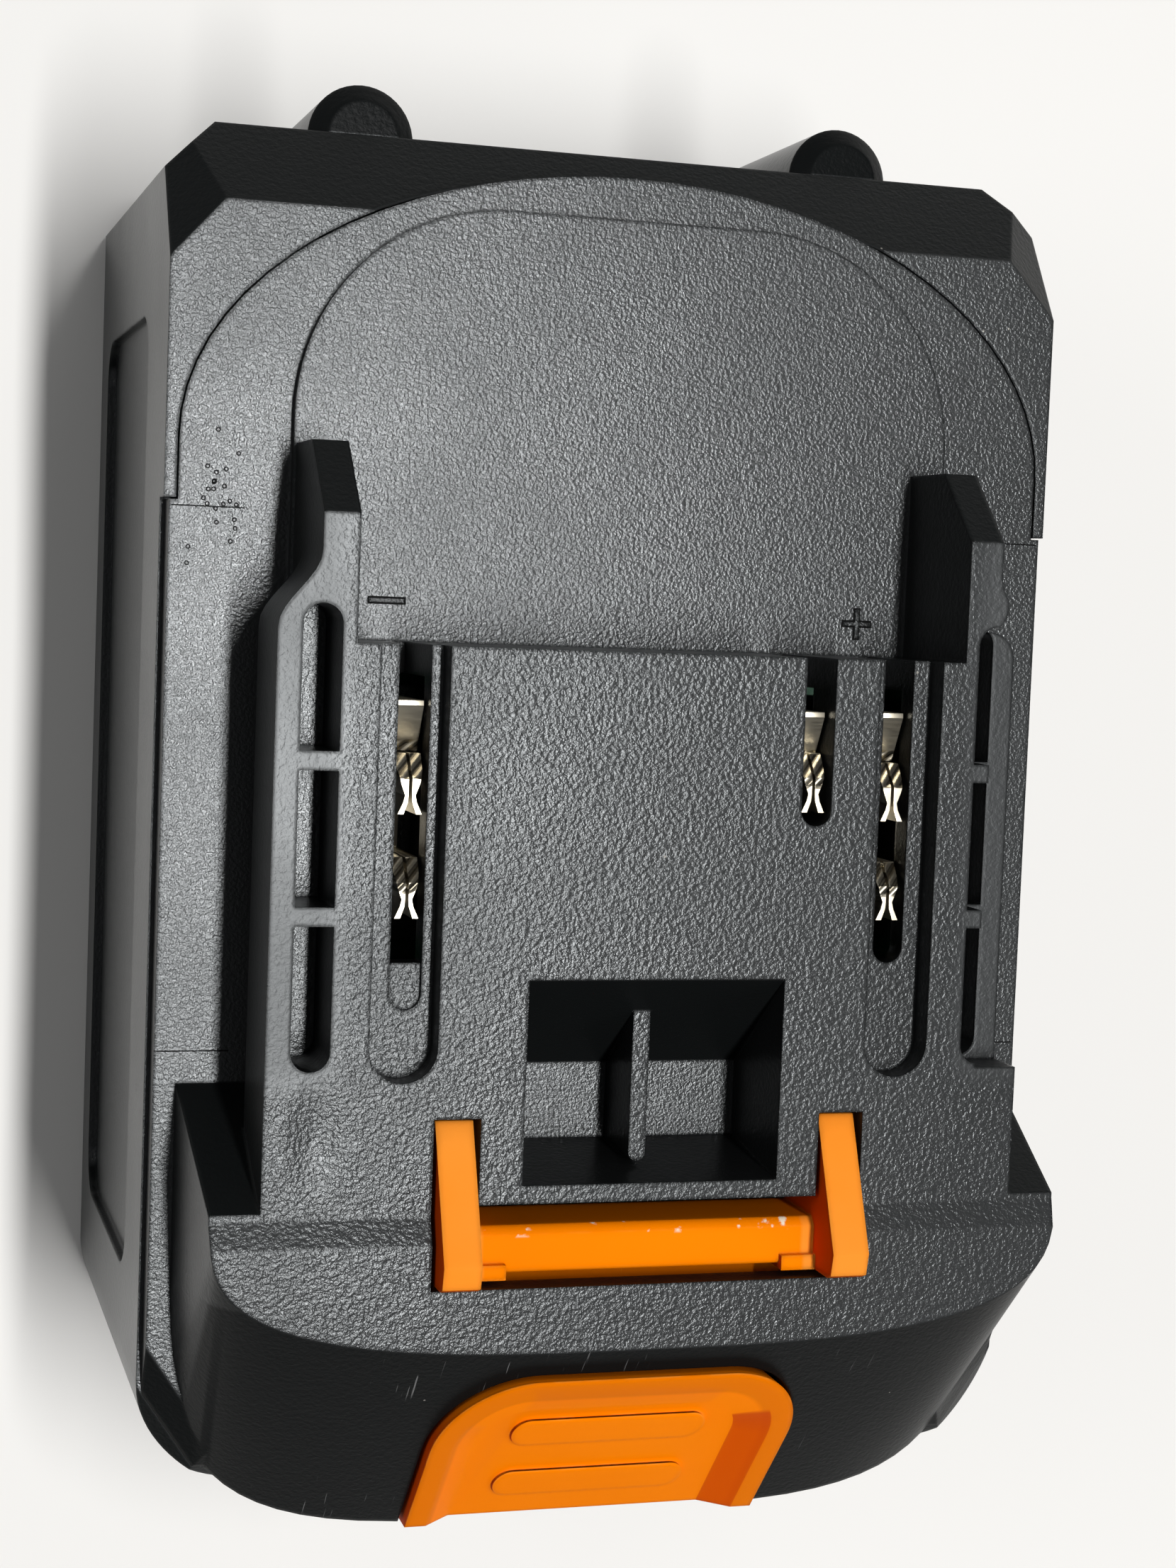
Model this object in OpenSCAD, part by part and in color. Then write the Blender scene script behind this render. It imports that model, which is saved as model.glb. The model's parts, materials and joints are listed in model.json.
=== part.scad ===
// Slide-on battery pack for a cordless tool: ten cells in two layers, a rail top with fork contacts
// and a sprung release latch. Millimetres, +Z up, the slide runs along Y and the latch is at -Y.

/* [Cells] */
// Diameter of one cell
cell_d = 18.4; // [17.8:0.1:19]
// Length of one cell with its button
cell_l = 65; // [62:0.5:68]
// Cells along the pack
cell_rows = 5; // [5:1:5]
// Layers of cells
cell_layers = 2; // [2:1:2]
// Space between neighbouring cells
cell_gap = 0.8; // [0.5:0.1:1.2]
// Height of the positive button
cell_button_h = 0.8; // [0.4:0.1:1.2]
// Radius of the positive button
cell_button_r = 3; // [2.5:0.1:3.5]
// Rounding of the can's ends
can_bevel = 0.6; // [0.3:0.1:0.8]
// From the can's top to its crimp
crimp_back = 3.4; // [3:0.1:4]
// Depth of the crimp
crimp_depth = 0.7; // [0.4:0.1:0.8]
// Width of the rolled rim at the can's top
can_rim = 2.4; // [2:0.1:2.8]

/* [Cell frames] */
// Length of cell that a frame covers
frame_grip = 12.5; // [11.5:0.5:14]
// Plastic round the outermost cells
frame_rim = 1.35; // [1:0.05:2]
// Radial play of a cell in its frame
cell_play = 0.1; // [0.05:0.05:0.2]
// Thickness of the nickel links
strip_t = 0.3; // [0.15:0.05:0.5]
// Width of the nickel links
strip_w = 8; // [6:0.5:10]
// How far a link reaches past the middle of its cells
strip_reach = 6; // [5:0.2:7]
// Width of the tabs that lead to the board
tab_w = 4; // [3:0.2:5]
// Thickness of the insulating sheets
sheet_t = 0.5; // [0.3:0.1:0.8]
// How far the insulating sheets stay inside the frames' edges
sheet_in = 1; // [0.5:0.1:2]
// Corner radius of the insulating sheets and of the foam
sheet_r = 3; // [2:0.1:4]
// Thickness of the foam under the frames
pad_t = 1; // [0.5:0.1:2]
// How far the foam stays inside the frames' ends
pad_in = 4; // [3:0.5:8]

/* [Case] */
// Wall of the lower case
wall = 3; // [2.5:0.1:4]
// Floor of the lower case
floor_t = 2.5; // [2:0.1:4]
// Room between an insulating sheet and the wall
side_room = 1.2; // [0.6:0.1:2]
// Room between the frames and the end walls
end_room = 3; // [2.5:0.1:4.5]
// Room above the frames for the board
board_room = 5.7; // [5.2:0.1:8]
// Thickness of the shoulder plate
plate_t = 2.5; // [2:0.1:3.5]
// How far the upper case's side stands behind the lower case's
side_step = 0.4; // [0.2:0.1:0.8]
// Joint gap between the two cases where they lie side by side
seam = 0.15; // [0.1:0.05:0.3]
// Rounding of the lower case's bottom edge
foot_r = 2.5; // [1:0.1:4]
// Corner radius at the front
front_r = 9; // [6:0.5:12]
// Cut of the rear corners
rear_cut = 4.1; // [3:0.1:5]
// Length of the rear bevel, measured level
bevel_l = 7; // [5:0.5:8]
// Drop from the bevels to the faces under them, per thickness of the shoulder plate
bevel_share = 1.45; // [1.4:0.05:1.6]
// From the front wall to the start of its bevel
front_bevel_in = 4; // [3.6:0.1:4.4]
// How far inside the case's side the rear corners' bevels start
corner_in = 2; // [1.5:0.1:2.5]
// How far before the rear bevel the rear corners' bevels start
corner_lead = 2.5; // [2:0.1:3]
// Turn of the rear corners' bevels
corner_turn = 48; // [44:1:52]
// How far inside the case's side the front corners' bevels start
cheek_in = 0.6; // [0.4:0.1:0.8]
// From the front wall to the start of the front corners' bevels
cheek_lead = 12; // [11:0.5:13]
// Turn of the front corners' bevels
cheek_turn = 56; // [52:1:60]
// Depth of the side panels
panel_depth = 0.8; // [0.3:0.1:1.2]
// Half length of the side panels
panel_a = 40; // [34:0.5:42]
// Half height of the side panels
panel_h = 16; // [12:0.5:17]
// Corner radius of the side panels
panel_r = 4; // [2:0.5:6]

/* [Rear tongue] */
// How far the tongue's sides stand inside the case's sides
tongue_in = 1.1; // [0.9:0.1:2]
// Length of the tongue's rounded end
tongue_b = 22.6; // [18:0.2:24]
// From the rear wall to the tongue's tip
tongue_back = 2.8; // [2.4:0.1:5]
// Length of the straight side strips
tongue_side = 4.8; // [2:0.2:8]
// Depth of the tongue's skirt under the shoulder
skirt_h = 7; // [5:0.5:8]
// Wall of the skirt
skirt_t = 2.2; // [1.6:0.1:3]
// Height of the landing between the posts
landing_h = 1; // [0.5:0.1:1.5]
// Corner radius of the landing
landing_r = 17; // [12:0.5:20]
// From the rear wall to the landing's edge
landing_back = 6.3; // [5:0.1:9]

/* [Rails] */
// Height of the rail top above the shoulders
rail_h = 14; // [12:0.5:16]
// Half width over the rails
rail_a = 30.6; // [29:0.1:32]
// Half width of the neck under the rails
neck_a = 25.8; // [25:0.1:27]
// Wall of the neck
neck_t = 2.5; // [2:0.1:3]
// Height of the groove under the rails
groove_h = 5; // [4.5:0.1:6]
// From the chin to the rear edge of the terminal block
rail_l = 73.4; // [72:0.2:76]
// Inner half width between the posts
post_in = 24.6; // [23.8:0.1:25]
// Thickness of a post
post_t = 2.8; // [2:0.1:3.2]
// Length of a post's level top
post_l = 9.6; // [8:0.2:11]
// Length of a post's ramp
post_ramp_l = 5.6; // [4:0.2:7]
// Fall of a post's ramp
post_ramp_h = 6; // [4:0.2:8]
// From the terminal edge back to where a rail leaves its post
flare_start = 6.8; // [6:0.1:7.4]
// Length over which a rail widens
flare_l = 5.8; // [5:0.1:6.4]
// Width of the pockets in the rails
slot_w = 3; // [2.4:0.1:3.4]
// Depth of the pockets in the rails
slot_depth = 7; // [4.5:0.2:7.4]
// Plastic outside the pockets
slot_edge = 1.9; // [1.5:0.1:2.2]
// From the terminal edge back to the first pocket's end
slot_rear = 2.9; // [2.4:0.1:3.4]
// Length of the first and the last pocket
slot_l = 11; // [10:0.1:11.2]
// Length of the middle pocket
slot_mid_l = 10.25; // [9:0.05:10.5]
// Bars between the pockets
slot_bar = 1.45; // [1:0.05:2]
// How much lower the outer strip of the right rail is
key_drop = 4; // [2:0.2:5]
// How much of the pockets' width the right rail's inner strip covers
key_web = 1.3; // [1:0.1:1.6]
// From the terminal edge back to the end of the lowered strip
key_rear = 2.5; // [2.2:0.1:2.8]
// Rounding of the lowered strip's end
key_r = 2.2; // [1.6:0.1:2.4]
// How far the right rail's head bulges past its post
head_bulge = 0.65; // [0.4:0.05:0.9]
// Rounding of the right rail's head
head_r = 1.9; // [1.5:0.1:2.2]

/* [Terminal block] */
// Roof over the terminal block
roof_t = 5; // [4.4:0.1:6]
// Inner edge of the terminal channels
channel_in = 17.4; // [17:0.1:18]
// Width of the terminal channels
channel_w = 5.3; // [4.6:0.1:5.8]
// Length of the terminal channels
channel_l = 33.2; // [31:0.2:34]
// Depth of the terminal channels
channel_depth = 2.6; // [2:0.1:3]
// Width of the contact slots
contact_slot_w = 2.5; // [2.2:0.1:3]
// How far the left contact slot stands inwards in its channel
slot_shift = 0.5; // [0:0.1:0.6]
// Length of the contact slots
contact_slot_l = 24.4; // [22:0.2:26]
// Height of the sill that closes the slots' rear ends over the landing
sill_h = 0.6; // [0.4:0.1:2]
// Length of the recess before the left slot
recess_l = 3.6; // [3:0.1:4.4]
// Depth of the recess before the left slot
recess_depth = 0.4; // [0.2:0.1:0.8]
// Place of the sense contact across the pack
sense_x = 12.4; // [11.6:0.1:13]
// Length of the sense slot
sense_slot_l = 13.2; // [12:0.2:15]
// Half width of the pocket
pocket_a = 10.4; // [8:0.2:10.6]
// From the terminal edge to the pocket
pocket_start = 25.3; // [25:0.1:27]
// Length of the pocket
pocket_l = 16; // [14:0.2:16.2]
// Depth of the pocket
pocket_depth = 11; // [7:0.2:11.4]
// Run of the pocket's rear slope
pocket_ramp = 8.4; // [6:0.2:9]
// Run of the pocket's front slope
pocket_front = 1.4; // [1:0.1:2]
// Wall of the pocket under the roof
pocket_wall = 1.3; // [1:0.1:1.5]
// Thickness of the pocket's rib
rib_t = 1.4; // [1:0.1:2]
// Depth of the rib's top under the rail top
rib_drop = 4; // [2:0.2:6]
// From the pocket's front edge to the rib's end
rib_in = 0.9; // [0.7:0.1:1.2]

/* [Nose] */
// How far the deck's sides stand inside the case's sides
deck_in = 3.1; // [2.6:0.1:4.4]
// Squareness of the deck's outline
deck_n = 3.1; // [2.6:0.1:3.4]
// Height of the deck above the rail top
deck_rise = 0.8; // [0.4:0.1:1.2]
// Length of the ramp from the rail top to the deck
deck_ramp_l = 2.2; // [1.6:0.1:2.6]
// From the terminal edge to the deck's rear corners
deck_start = 43.4; // [42.5:0.1:44.5]
// From the terminal edge to the deck's front edge
deck_end = 54.3; // [53:0.1:55.5]
// How far the chin's sides stand inside the case's sides
chin_in = 2; // [1.6:0.1:2.4]
// Squareness of the chin's outline
chin_n = 4.3; // [4:0.1:4.6]
// From the terminal edge to where the chin starts to round
chin_start = 45; // [44:0.2:46]
// How far the chin stands before the front wall
chin_out = 4.3; // [3:0.1:6]
// From the terminal edge to the foot of the wings
wing_start = 34.2; // [33:0.1:36]
// Upright edge all round the deck
deck_edge = 0.4; // [0.2:0.1:0.6]
// Wall of the nose
nose_t = 2.5; // [2:0.1:3]

/* [Latch] */
// Travel of the latch
latch_travel = 4; // [3:0.1:4.4]
// Gap round the latch
latch_gap = 0.35; // [0.25:0.05:0.5]
// Inner edge of the hook slots
hook_in = 13.8; // [13.4:0.1:14.4]
// Width of the hook slots
hook_slot_w = 3.7; // [3.2:0.1:4.2]
// From the terminal edge to the hook slots
hook_start = 36; // [35.6:0.1:37]
// From the terminal edge to the cross slot
cross_start = 42.7; // [42.4:0.1:43.4]
// From the terminal edge to the front of the latch opening
cross_end = 49.1; // [48.6:0.1:49.6]
// Height of the hooks above the rail top
hook_rise = 3.5; // [2:0.1:4]
// From the cross slot to the hooks' highest point
hook_peak = 3.9; // [3.4:0.1:4.4]
// Drop at the ends of the hooks' tops
hook_lip = 1.2; // [0.8:0.1:1.6]
// How far the hooks' feet reach inwards
hook_foot = 2.5; // [1.5:0.1:3]
// From the cross slot to the latch's bar
bar_back = 2; // [1.6:0.1:2.4]
// Space before the latch's bar
bar_space = 0.8; // [0.6:0.1:1.2]
// Depth of the bar's top under the rail top
bar_drop = 1; // [0.6:0.1:1.4]
// Bevel of the bar's rear edge
bar_lip = 0.6; // [0.4:0.1:0.8]
// Depth of the latch's web under the rail top
web_drop = 5.6; // [5.4:0.1:6]
// Thickness of the latch's web
web_t = 2.4; // [2:0.1:2.6]
// Half width of the button
button_a = 15.2; // [13:0.2:16.2]
// From the terminal edge to the button's top edge
button_start = 57; // [56.6:0.1:58]
// Upper corner radius of the button
button_r = 7.5; // [5:0.5:9]
// How far the button stands out of the slope, measured upright
button_proud = 1; // [0.4:0.1:1.4]
// Thickness of the button, measured upright
button_t = 4; // [3.6:0.2:5]
// Rim round the thumb dish
dish_rim = 1.8; // [1.4:0.1:2.4]
// Depth of the thumb dish
dish_depth = 2.2; // [1.4:0.1:2.4]
// Lean of the thumb dish's walls
dish_draft = 2.4; // [1.6:0.1:2.8]
// Length of the grip ribs
grip_l = 16.4; // [12:0.2:18]
// Width of the grip ribs
grip_w = 2.9; // [2:0.1:3.2]
// Height of the grip ribs
grip_h = 0.45; // [0.3:0.05:0.8]
// From the terminal edge to the first grip rib
grip_start = 63.6; // [63:0.1:64]
// From one grip rib to the next
grip_pitch = 6; // [5:0.1:6.2]
// Height of the button's apron under the slope
apron_h = 5.2; // [4.6:0.2:5.6]
// Thickness of the apron
apron_t = 2.4; // [1.8:0.1:2.6]
// Wall behind the notch that the apron moves in
notch_t = 1.6; // [1.2:0.1:2]
// Radius of the pads that stop the latch
stop_r = 2.5; // [2:0.1:3]
// From the terminal edge to the latch springs
spring_back = 51; // [50.4:0.1:51.4]
// Outer diameter of a latch spring
spring_d = 6; // [5:0.1:7]
// Wire of a latch spring
wire_d = 0.8; // [0.6:0.05:1]
// Turns of a latch spring
spring_turns = 6; // [4:1:8]
// Height of the pins inside the latch springs
pin_h = 2.4; // [1.6:0.1:3]

/* [Contacts and board] */
// Sheet of the contacts
contact_t = 0.4; // [0.3:0.05:0.5]
// Depth of the contacts' tops under the terminal channels
contact_drop = 0.4; // [0.2:0.1:1]
// Depth of the sense contact's top under the rail top
sense_drop = 0.8; // [0.5:0.1:1.2]
// Length of one contact fork
fork_l = 4.6; // [3.8:0.1:4.6]
// From one fork to the next
fork_pitch = 8; // [7:0.1:9]
// Half width between a fork's leaves
fork_gap = 0.12; // [0.08:0.02:0.2]
// Half width of a fork where it grips
fork_pinch = 0.42; // [0.36:0.02:0.5]
// Rise of a fork's top from its root
fork_rise = 1.6; // [0.6:0.1:2]
// From the terminal edge to the first fork
fork_start = 8.4; // [8:0.1:9]
// From the terminal edge to the fork of the sense contact
sense_start = 7.6; // [7.2:0.1:7.6]
// From the terminal edge to the contact's bent plate
plate_start = 4.3; // [3.5:0.1:4.4]
// Length of the contact's bent plate
plate_l = 4; // [3:0.1:4]
// Fall of the contact's bent plate
plate_fall = 2; // [1:0.1:3]
// Thickness of the board
board_t = 1.6; // [1:0.1:2]
// Clear height under the board
board_lift = 2.2; // [1.5:0.1:2.5]
// How far the board reaches ahead of the terminal edge
board_ahead = 30; // [29:0.5:31]
// How far the board reaches behind the side strips
board_behind = 7; // [6:0.5:7.5]
// From the board's ends to its posts
board_post_end = 4; // [3:0.2:5]
// From the cells' ends to the board's posts
board_post_in = 5; // [4:0.2:6]
// Radius of the board's posts
board_post_r = 2.5; // [2:0.1:3]
// Radius of the board's holes
board_hole_r = 1.1; // [0.8:0.1:1.4]
// Length of a switching chip
chip_l = 6.5; // [5:0.1:7]
// Width of a switching chip
chip_w = 3.4; // [3:0.1:3.6]
// Height of the chips
chip_h = 1.2; // [0.8:0.1:1.4]
// From one switching chip to the next
chip_pitch = 9; // [8:0.1:10]
// Number of switching chips
chip_count = 4; // [2:1:4]
// Length of the controller
controller_l = 9; // [6:0.1:12]
// Width of the controller
controller_w = 7; // [5:0.1:8]
// From the terminal edge back to the controller
controller_back = 5; // [4:0.1:6]
// Length of a resistor
resistor_l = 2; // [1.6:0.1:2.2]
// Width of a resistor
resistor_w = 1.2; // [0.8:0.1:1.4]
// Height of a resistor
resistor_h = 0.8; // [0.5:0.1:1]
// From one resistor to the next
resistor_pitch = 3; // [2.6:0.1:3.4]
// Number of resistors
resistor_count = 5; // [3:1:9]
// Height of the contact holder
holder_h = 6; // [4.5:0.2:7]
// Thickness of the contact holder's base
holder_base = 2; // [1.5:0.1:3]
// Half width of the contact holder's blocks
holder_a = 2.2; // [1.8:0.1:2.4]

/* [Screws] */
// Diameter of the screws
screw_d = 2.9; // [2.5:0.1:3.2]
// Diameter of the screw heads
screw_head_d = 5.2; // [5:0.1:5.4]
// Height of the screw heads
screw_head_h = 2.2; // [1.8:0.1:2.6]
// From a screw head's seat to the joint of its boss
screw_seat_t = 6; // [5:0.2:8]
// Across the pack to the rear screws
bump_x = 21; // [19:0.2:23]
// How far the bumps stand out of the rear wall
bump_out = 4.5; // [4:0.1:5]
// Plastic of the bumps outside their pillars
bump_skin = 0.7; // [0.5:0.1:1]
// Chamfer of the bumps' ends
bump_chamfer = 1.5; // [1:0.1:2]
// Roof of the bumps over the bosses inside
bump_roof = 2.1; // [1.8:0.1:2.6]
// Radius of the bosses that the screws bite into
boss_r = 3.2; // [2.8:0.1:3.4]
// Height of the rear bosses
boss_h = 3.6; // [3:0.1:4]
// Wall of the screw pillars round the screw heads
pillar_t = 0.8; // [0.8:0.1:1]
// Play of a screw in its boss, which its thread fills
screw_bite = 0.1; // [0.05:0.05:0.15]
// Thickness of the ears that carry the rear bosses
ear_t = 1.5; // [1.2:0.1:1.8]
// Length of the bridges from the ears over the frames
bridge_l = 5.2; // [4:0.2:6]
// Thickness of the bridges
bridge_t = 2.2; // [1.8:0.1:2.4]
// Across the pack to the front screws
front_screw_x = 20; // [19.6:0.2:21]

/* [Fits] */
// Play between parts that fit into each other
fit_gap = 0.2; // [0.1:0.05:0.3]
// Room between parts that pass each other
part_gap = 0.3; // [0.2:0.05:0.4]
// Room left at the end of the latch's travel
stop_gap = 0.6; // [0.4:0.1:0.8]

/* [Hidden] */
$fn = 64;
EPS = 0.01;
FAR = 200;
LAP = 1;
SIDES = [-1, 1];

cell_pitch = cell_d + cell_gap;
cell_count = cell_rows * cell_layers;
frame_l = (cell_rows - 1) * cell_pitch + cell_d + 2 * frame_rim;
frame_h = (cell_layers - 1) * cell_pitch + cell_d + 2 * frame_rim;
frame_z = floor_t + pad_t;
frame_top = frame_z + frame_h;
seam_z = frame_top + board_room;
shoulder_z = seam_z + plate_t;
flange_z = shoulder_z + groove_h;
top_z = shoulder_z + rail_h;
deck_z = top_z + deck_rise;

case_w = cell_l + 2 * (strip_t + sheet_t + side_room + wall);
main_l = frame_l + 2 * (end_room + wall);
length = main_l + chin_out + bump_out;
chin_y = -length / 2;
front_y = chin_y + chin_out;
rear_y = front_y + main_l;
cells_y = (front_y + rear_y) / 2;
term_y = chin_y + rail_l;

tongue_a = case_w / 2 - tongue_in;
tongue_y = rear_y - tongue_back - tongue_b;
strip_end_y = tongue_y - tongue_side;
bevel_y = rear_y - bevel_l;
bevel_drop = bevel_share * plate_t;
rear_corner = [case_w / 2 - corner_in, bevel_y - corner_lead];
cheek = [case_w / 2 - cheek_in, front_y + cheek_lead];
landing_a = post_in + post_t + fit_gap;
landing_y = rear_y - landing_back;
landing_z = shoulder_z + landing_h;
deck_a = case_w / 2 - deck_in;
chin_a = case_w / 2 - chin_in;

slot_x = rail_a - slot_edge - slot_w / 2;
slot_bar_1 = term_y + slot_rear - slot_l;
slot_bar_2 = slot_bar_1 - slot_bar - slot_mid_l;
slot_front = slot_bar_2 - slot_bar - slot_l;
head_x = post_in + post_t + head_bulge;
channel_x = channel_in + channel_w / 2;
negative_x = slot_shift - channel_x;
slope = (deck_z - seam_z) / (rail_l - deck_end);

board_z = frame_top + board_lift;
board_top = board_z + board_t;
board_a = cell_l / 2 - fit_gap / 2;
board_y = [ahead(board_ahead), strip_end_y + board_behind];
board_post_x = cell_l / 2 - board_post_in;
board_post_y = [board_y[0] + board_post_end, board_y[1] - board_post_end];
holder_top = board_top + holder_h;
contact_a = contact_slot_w / 2 - fit_gap;

web_top = top_z - web_drop;
spring_top = web_top - web_t;
spring_h = spring_top - frame_top;
spring_x = cell_l / 2 - frame_grip + spring_d / 2 + LAP;
spring_y = ahead(spring_back);
spring_rest = spring_d / 2 + 2 * fit_gap;
pin_r = spring_d / 2 - wire_d - 2 * fit_gap;
hook_out = hook_in + hook_slot_w - latch_gap;
latch_front = ahead(cross_end) + latch_gap;
dish_skin = button_proud - dish_depth;

bump_top = shoulder_z - bevel_l - bump_chamfer;
boss_bottom = bump_top - bump_roof - boss_h;
screw_seat = boss_bottom - screw_seat_t;
head_hole_r = screw_head_d / 2 + part_gap;
pillar_r = head_hole_r + pillar_t;
bump_r = pillar_r + bump_skin;
bump_y = rear_y + bump_out - bump_r;
front_screw_y = front_y + wall + end_room - pillar_r - part_gap;
ear_y = cells_y + frame_l / 2 + part_gap;
notch_z = seam_z - apron_h - latch_travel - stop_gap;

plastic = "#2b2c2e";
orange = "#f07d10";
nickel = "#c9c5bb";

// Distance forward of the terminal edge, as a place along Y
function ahead(d) = term_y - d;

// Upright height of the nose slope at a place along Y
function slope_z(y) = deck_z - slope * (ahead(deck_end) - y);

// Height of the face under the rear bevel at a place along Y
function under_bevel(y) = shoulder_z - bevel_drop - max(0, y - bevel_y);

// Points of half a superellipse that bulges to -Y
function bulge(a, back, front, n, steps = 36) =
    [for (i = [0:steps]) let (t = 180 * i / steps, c = cos(t), s = sin(t))
        [-a * sign(c) * pow(abs(c), 2 / n), back - (back - front) * pow(abs(s), 2 / n)]];

// Rectangle from its corners, in any order
module span(x0, x1, y0, y1) translate([min(x0, x1), min(y0, y1)]) square([abs(x1 - x0), abs(y1 - y0)]);

// Box from its corners, in any order across and along
module block(x0, x1, y0, y1, z0, z1) slab(z0, z1) span(x0, x1, y0, y1);

// Prism of a profile drawn as [y, z], across x0 to x1
module across(x0, x1, profile)
    translate([min(x0, x1), 0, 0]) rotate([90, 0, 90]) linear_extrude(abs(x1 - x0)) polygon(profile);

// Upright prism between two heights
module slab(z0, z1) translate([0, 0, z0]) linear_extrude(z1 - z0) children();

// Left and right copies
module pair() {
    children();
    mirror([1, 0, 0]) children();
}

// Forms drawn over a level plane, laid on the nose slope
module on_slope() multmatrix([[1, 0, 0, 0], [0, 1, 0, 0], [0, slope, 1, slope_z(0)]]) children();

// Rectangle with round corners
module rounded(a, y0, y1, r0, r1) {
    span(-a, a, y0 + r0, y1 - r1);
    span(-a + r0, a - r0, y0, y0 + r0 + EPS);
    span(-a + r1, a - r1, y1 - r1 - EPS, y1);
    for (s = SIDES) {
        translate([s * (a - r0), y0 + r0]) circle(r0);
        translate([s * (a - r1), y1 - r1]) circle(r1);
    }
}

// Strip along Y with a round front end
module channel(x, w, y0, y1) {
    span(x - w / 2, x + w / 2, y0 + w / 2, y1);
    translate([x, y0 + w / 2]) circle(w / 2);
}

// Outline of the case's main body, inset all round: round front corners and cut rear corners
module main_outline(inset = 0) {
    a = case_w / 2 - inset;
    r = front_r - inset;
    y1 = rear_y - inset;
    cut = rear_cut - (2 - sqrt(2)) * inset;
    polygon([[-a, front_y + front_r], [a, front_y + front_r], [a, y1 - cut], [a - cut, y1], [-a + cut, y1],
             [-a, y1 - cut]]);
    span(-a + r, a - r, front_y + inset, front_y + front_r + EPS);
    for (s = SIDES) translate([s * (a - r), front_y + front_r]) circle(r);
}

// Outline of the nose's foot, inset all round
module chin_outline(inset = 0)
    polygon(bulge(chin_a - inset, ahead(chin_start), chin_y + inset, chin_n));

// Outline of the tongue at the rear of the upper case, inset all round
module tongue_outline(inset = 0) {
    turn = 5;
    polygon([for (t = [0:turn:180]) [(tongue_a - inset) * cos(t), tongue_y + (tongue_b - inset) * sin(t)]]);
    span(-tongue_a + inset, tongue_a - inset, strip_end_y - LAP, tongue_y + EPS);
}

// What a bevel takes off a top edge that runs through p at the given angle
module edge_bevel(p, angle)
    translate([p[0], p[1], shoulder_z]) rotate(angle)
        across(-FAR, FAR, [[0, 0], [bevel_l, -bevel_l], [FAR, -bevel_l], [FAR, FAR], [0, FAR]]);

// Bevels of the rear edge, of the front edge and of the four corners
module body_bevels() {
    edge_bevel([0, bevel_y], 0);
    edge_bevel([0, front_y + front_bevel_in], 180);
    for (s = SIDES) {
        edge_bevel([s * rear_corner[0], rear_corner[1]], -s * corner_turn);
        edge_bevel([s * cheek[0], cheek[1]], 180 + s * cheek_turn);
    }
}

// One rail with its post, as seen from above, on the right side
module rail_outline() {
    steps = 8;
    post_out = post_in + post_t;
    flare = [for (i = [0:steps]) let (t = i / steps)
        [post_out + (rail_a - post_out) * (1 - cos(180 * t)) / 2, term_y + flare_start - flare_l * t]];
    polygon(concat([[post_in, ahead(deck_start)], [post_in, term_y + post_l], [post_out, term_y + post_l]],
                   flare, [[rail_a, ahead(deck_start)]]));
}

// Post with its ramp, down to the landing
module post() {
    y1 = term_y + post_l;
    y2 = y1 + post_ramp_l;
    across(post_in, post_in + post_t,
        [[term_y - LAP, shoulder_z - EPS], [y2, shoulder_z - EPS], [y2, top_z - post_ramp_h],
         [y1, top_z], [term_y - LAP, top_z]]);
}

// The three blind pockets of a rail, on the right side
module rail_pockets() {
    x0 = slot_x - slot_w / 2;
    x1 = slot_x + slot_w / 2;
    rear = term_y + slot_rear - slot_w / 2;
    slab(top_z - slot_depth, top_z + LAP) {
        span(x0, x1, slot_bar_1, rear);
        translate([slot_x, rear]) circle(slot_w / 2);
        span(x0, x1, slot_bar_2, slot_bar_1 - slot_bar);
        channel(slot_x, slot_w, slot_front, slot_bar_2 - slot_bar);
    }
}

// What is taken off the right rail to key it: its outer strip is lower and its head is round
module rail_key() {
    head_y = term_y + key_rear + head_r;
    slab(top_z - key_drop, top_z + LAP) difference() {
        span(slot_x - slot_w / 2 + key_web, FAR, slot_front - part_gap, head_y);
        translate([head_x - head_r, head_y]) circle(head_r);
    }
    slab(flange_z - EPS, top_z + LAP) {
        span(head_x, FAR, term_y + key_rear, term_y + post_l);
        difference() {
            span(rail_a - key_r, FAR, term_y + key_rear - key_r, term_y + key_rear + EPS);
            translate([rail_a - key_r, term_y + key_rear - key_r]) circle(key_r);
        }
    }
}

// Profile of the pocket, grown by t, as [y, z]: the shares keep the wall even along its slopes
function pocket_profile(t, lift, rear_share = 1.5, foot_share = 0.5) = [
    [ahead(pocket_start) + rear_share * t, top_z + lift],
    [ahead(pocket_start + pocket_ramp) + foot_share * t, top_z - pocket_depth - t],
    [ahead(pocket_start + pocket_l - pocket_front) - t, top_z - pocket_depth - t],
    [ahead(pocket_start + pocket_l) - t, top_z + lift]];

module pocket_tub()
    across(-pocket_a - pocket_wall, pocket_a + pocket_wall, pocket_profile(pocket_wall, -LAP));

module pocket_hollow() {
    difference() {
        across(-pocket_a, pocket_a, pocket_profile(0, EPS));
        slab(top_z - pocket_depth - LAP, top_z - rib_drop)
            channel(0, rib_t, ahead(pocket_start + pocket_l - rib_in), ahead(pocket_start));
    }
}

// Slot of one contact, open to the rear through the block's rear wall
module contact_slot(x, length, square_end = false) {
    a = contact_slot_w / 2;
    slab(top_z - roof_t - LAP, top_z + LAP) {
        if (square_end) span(x - a, x + a, ahead(length), term_y + LAP);
        else channel(x, 2 * a, ahead(length), term_y + LAP);
    }
    slab(landing_z + sill_h, top_z) span(x - a, x + a, ahead(neck_t + LAP), term_y + LAP);
}

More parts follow.
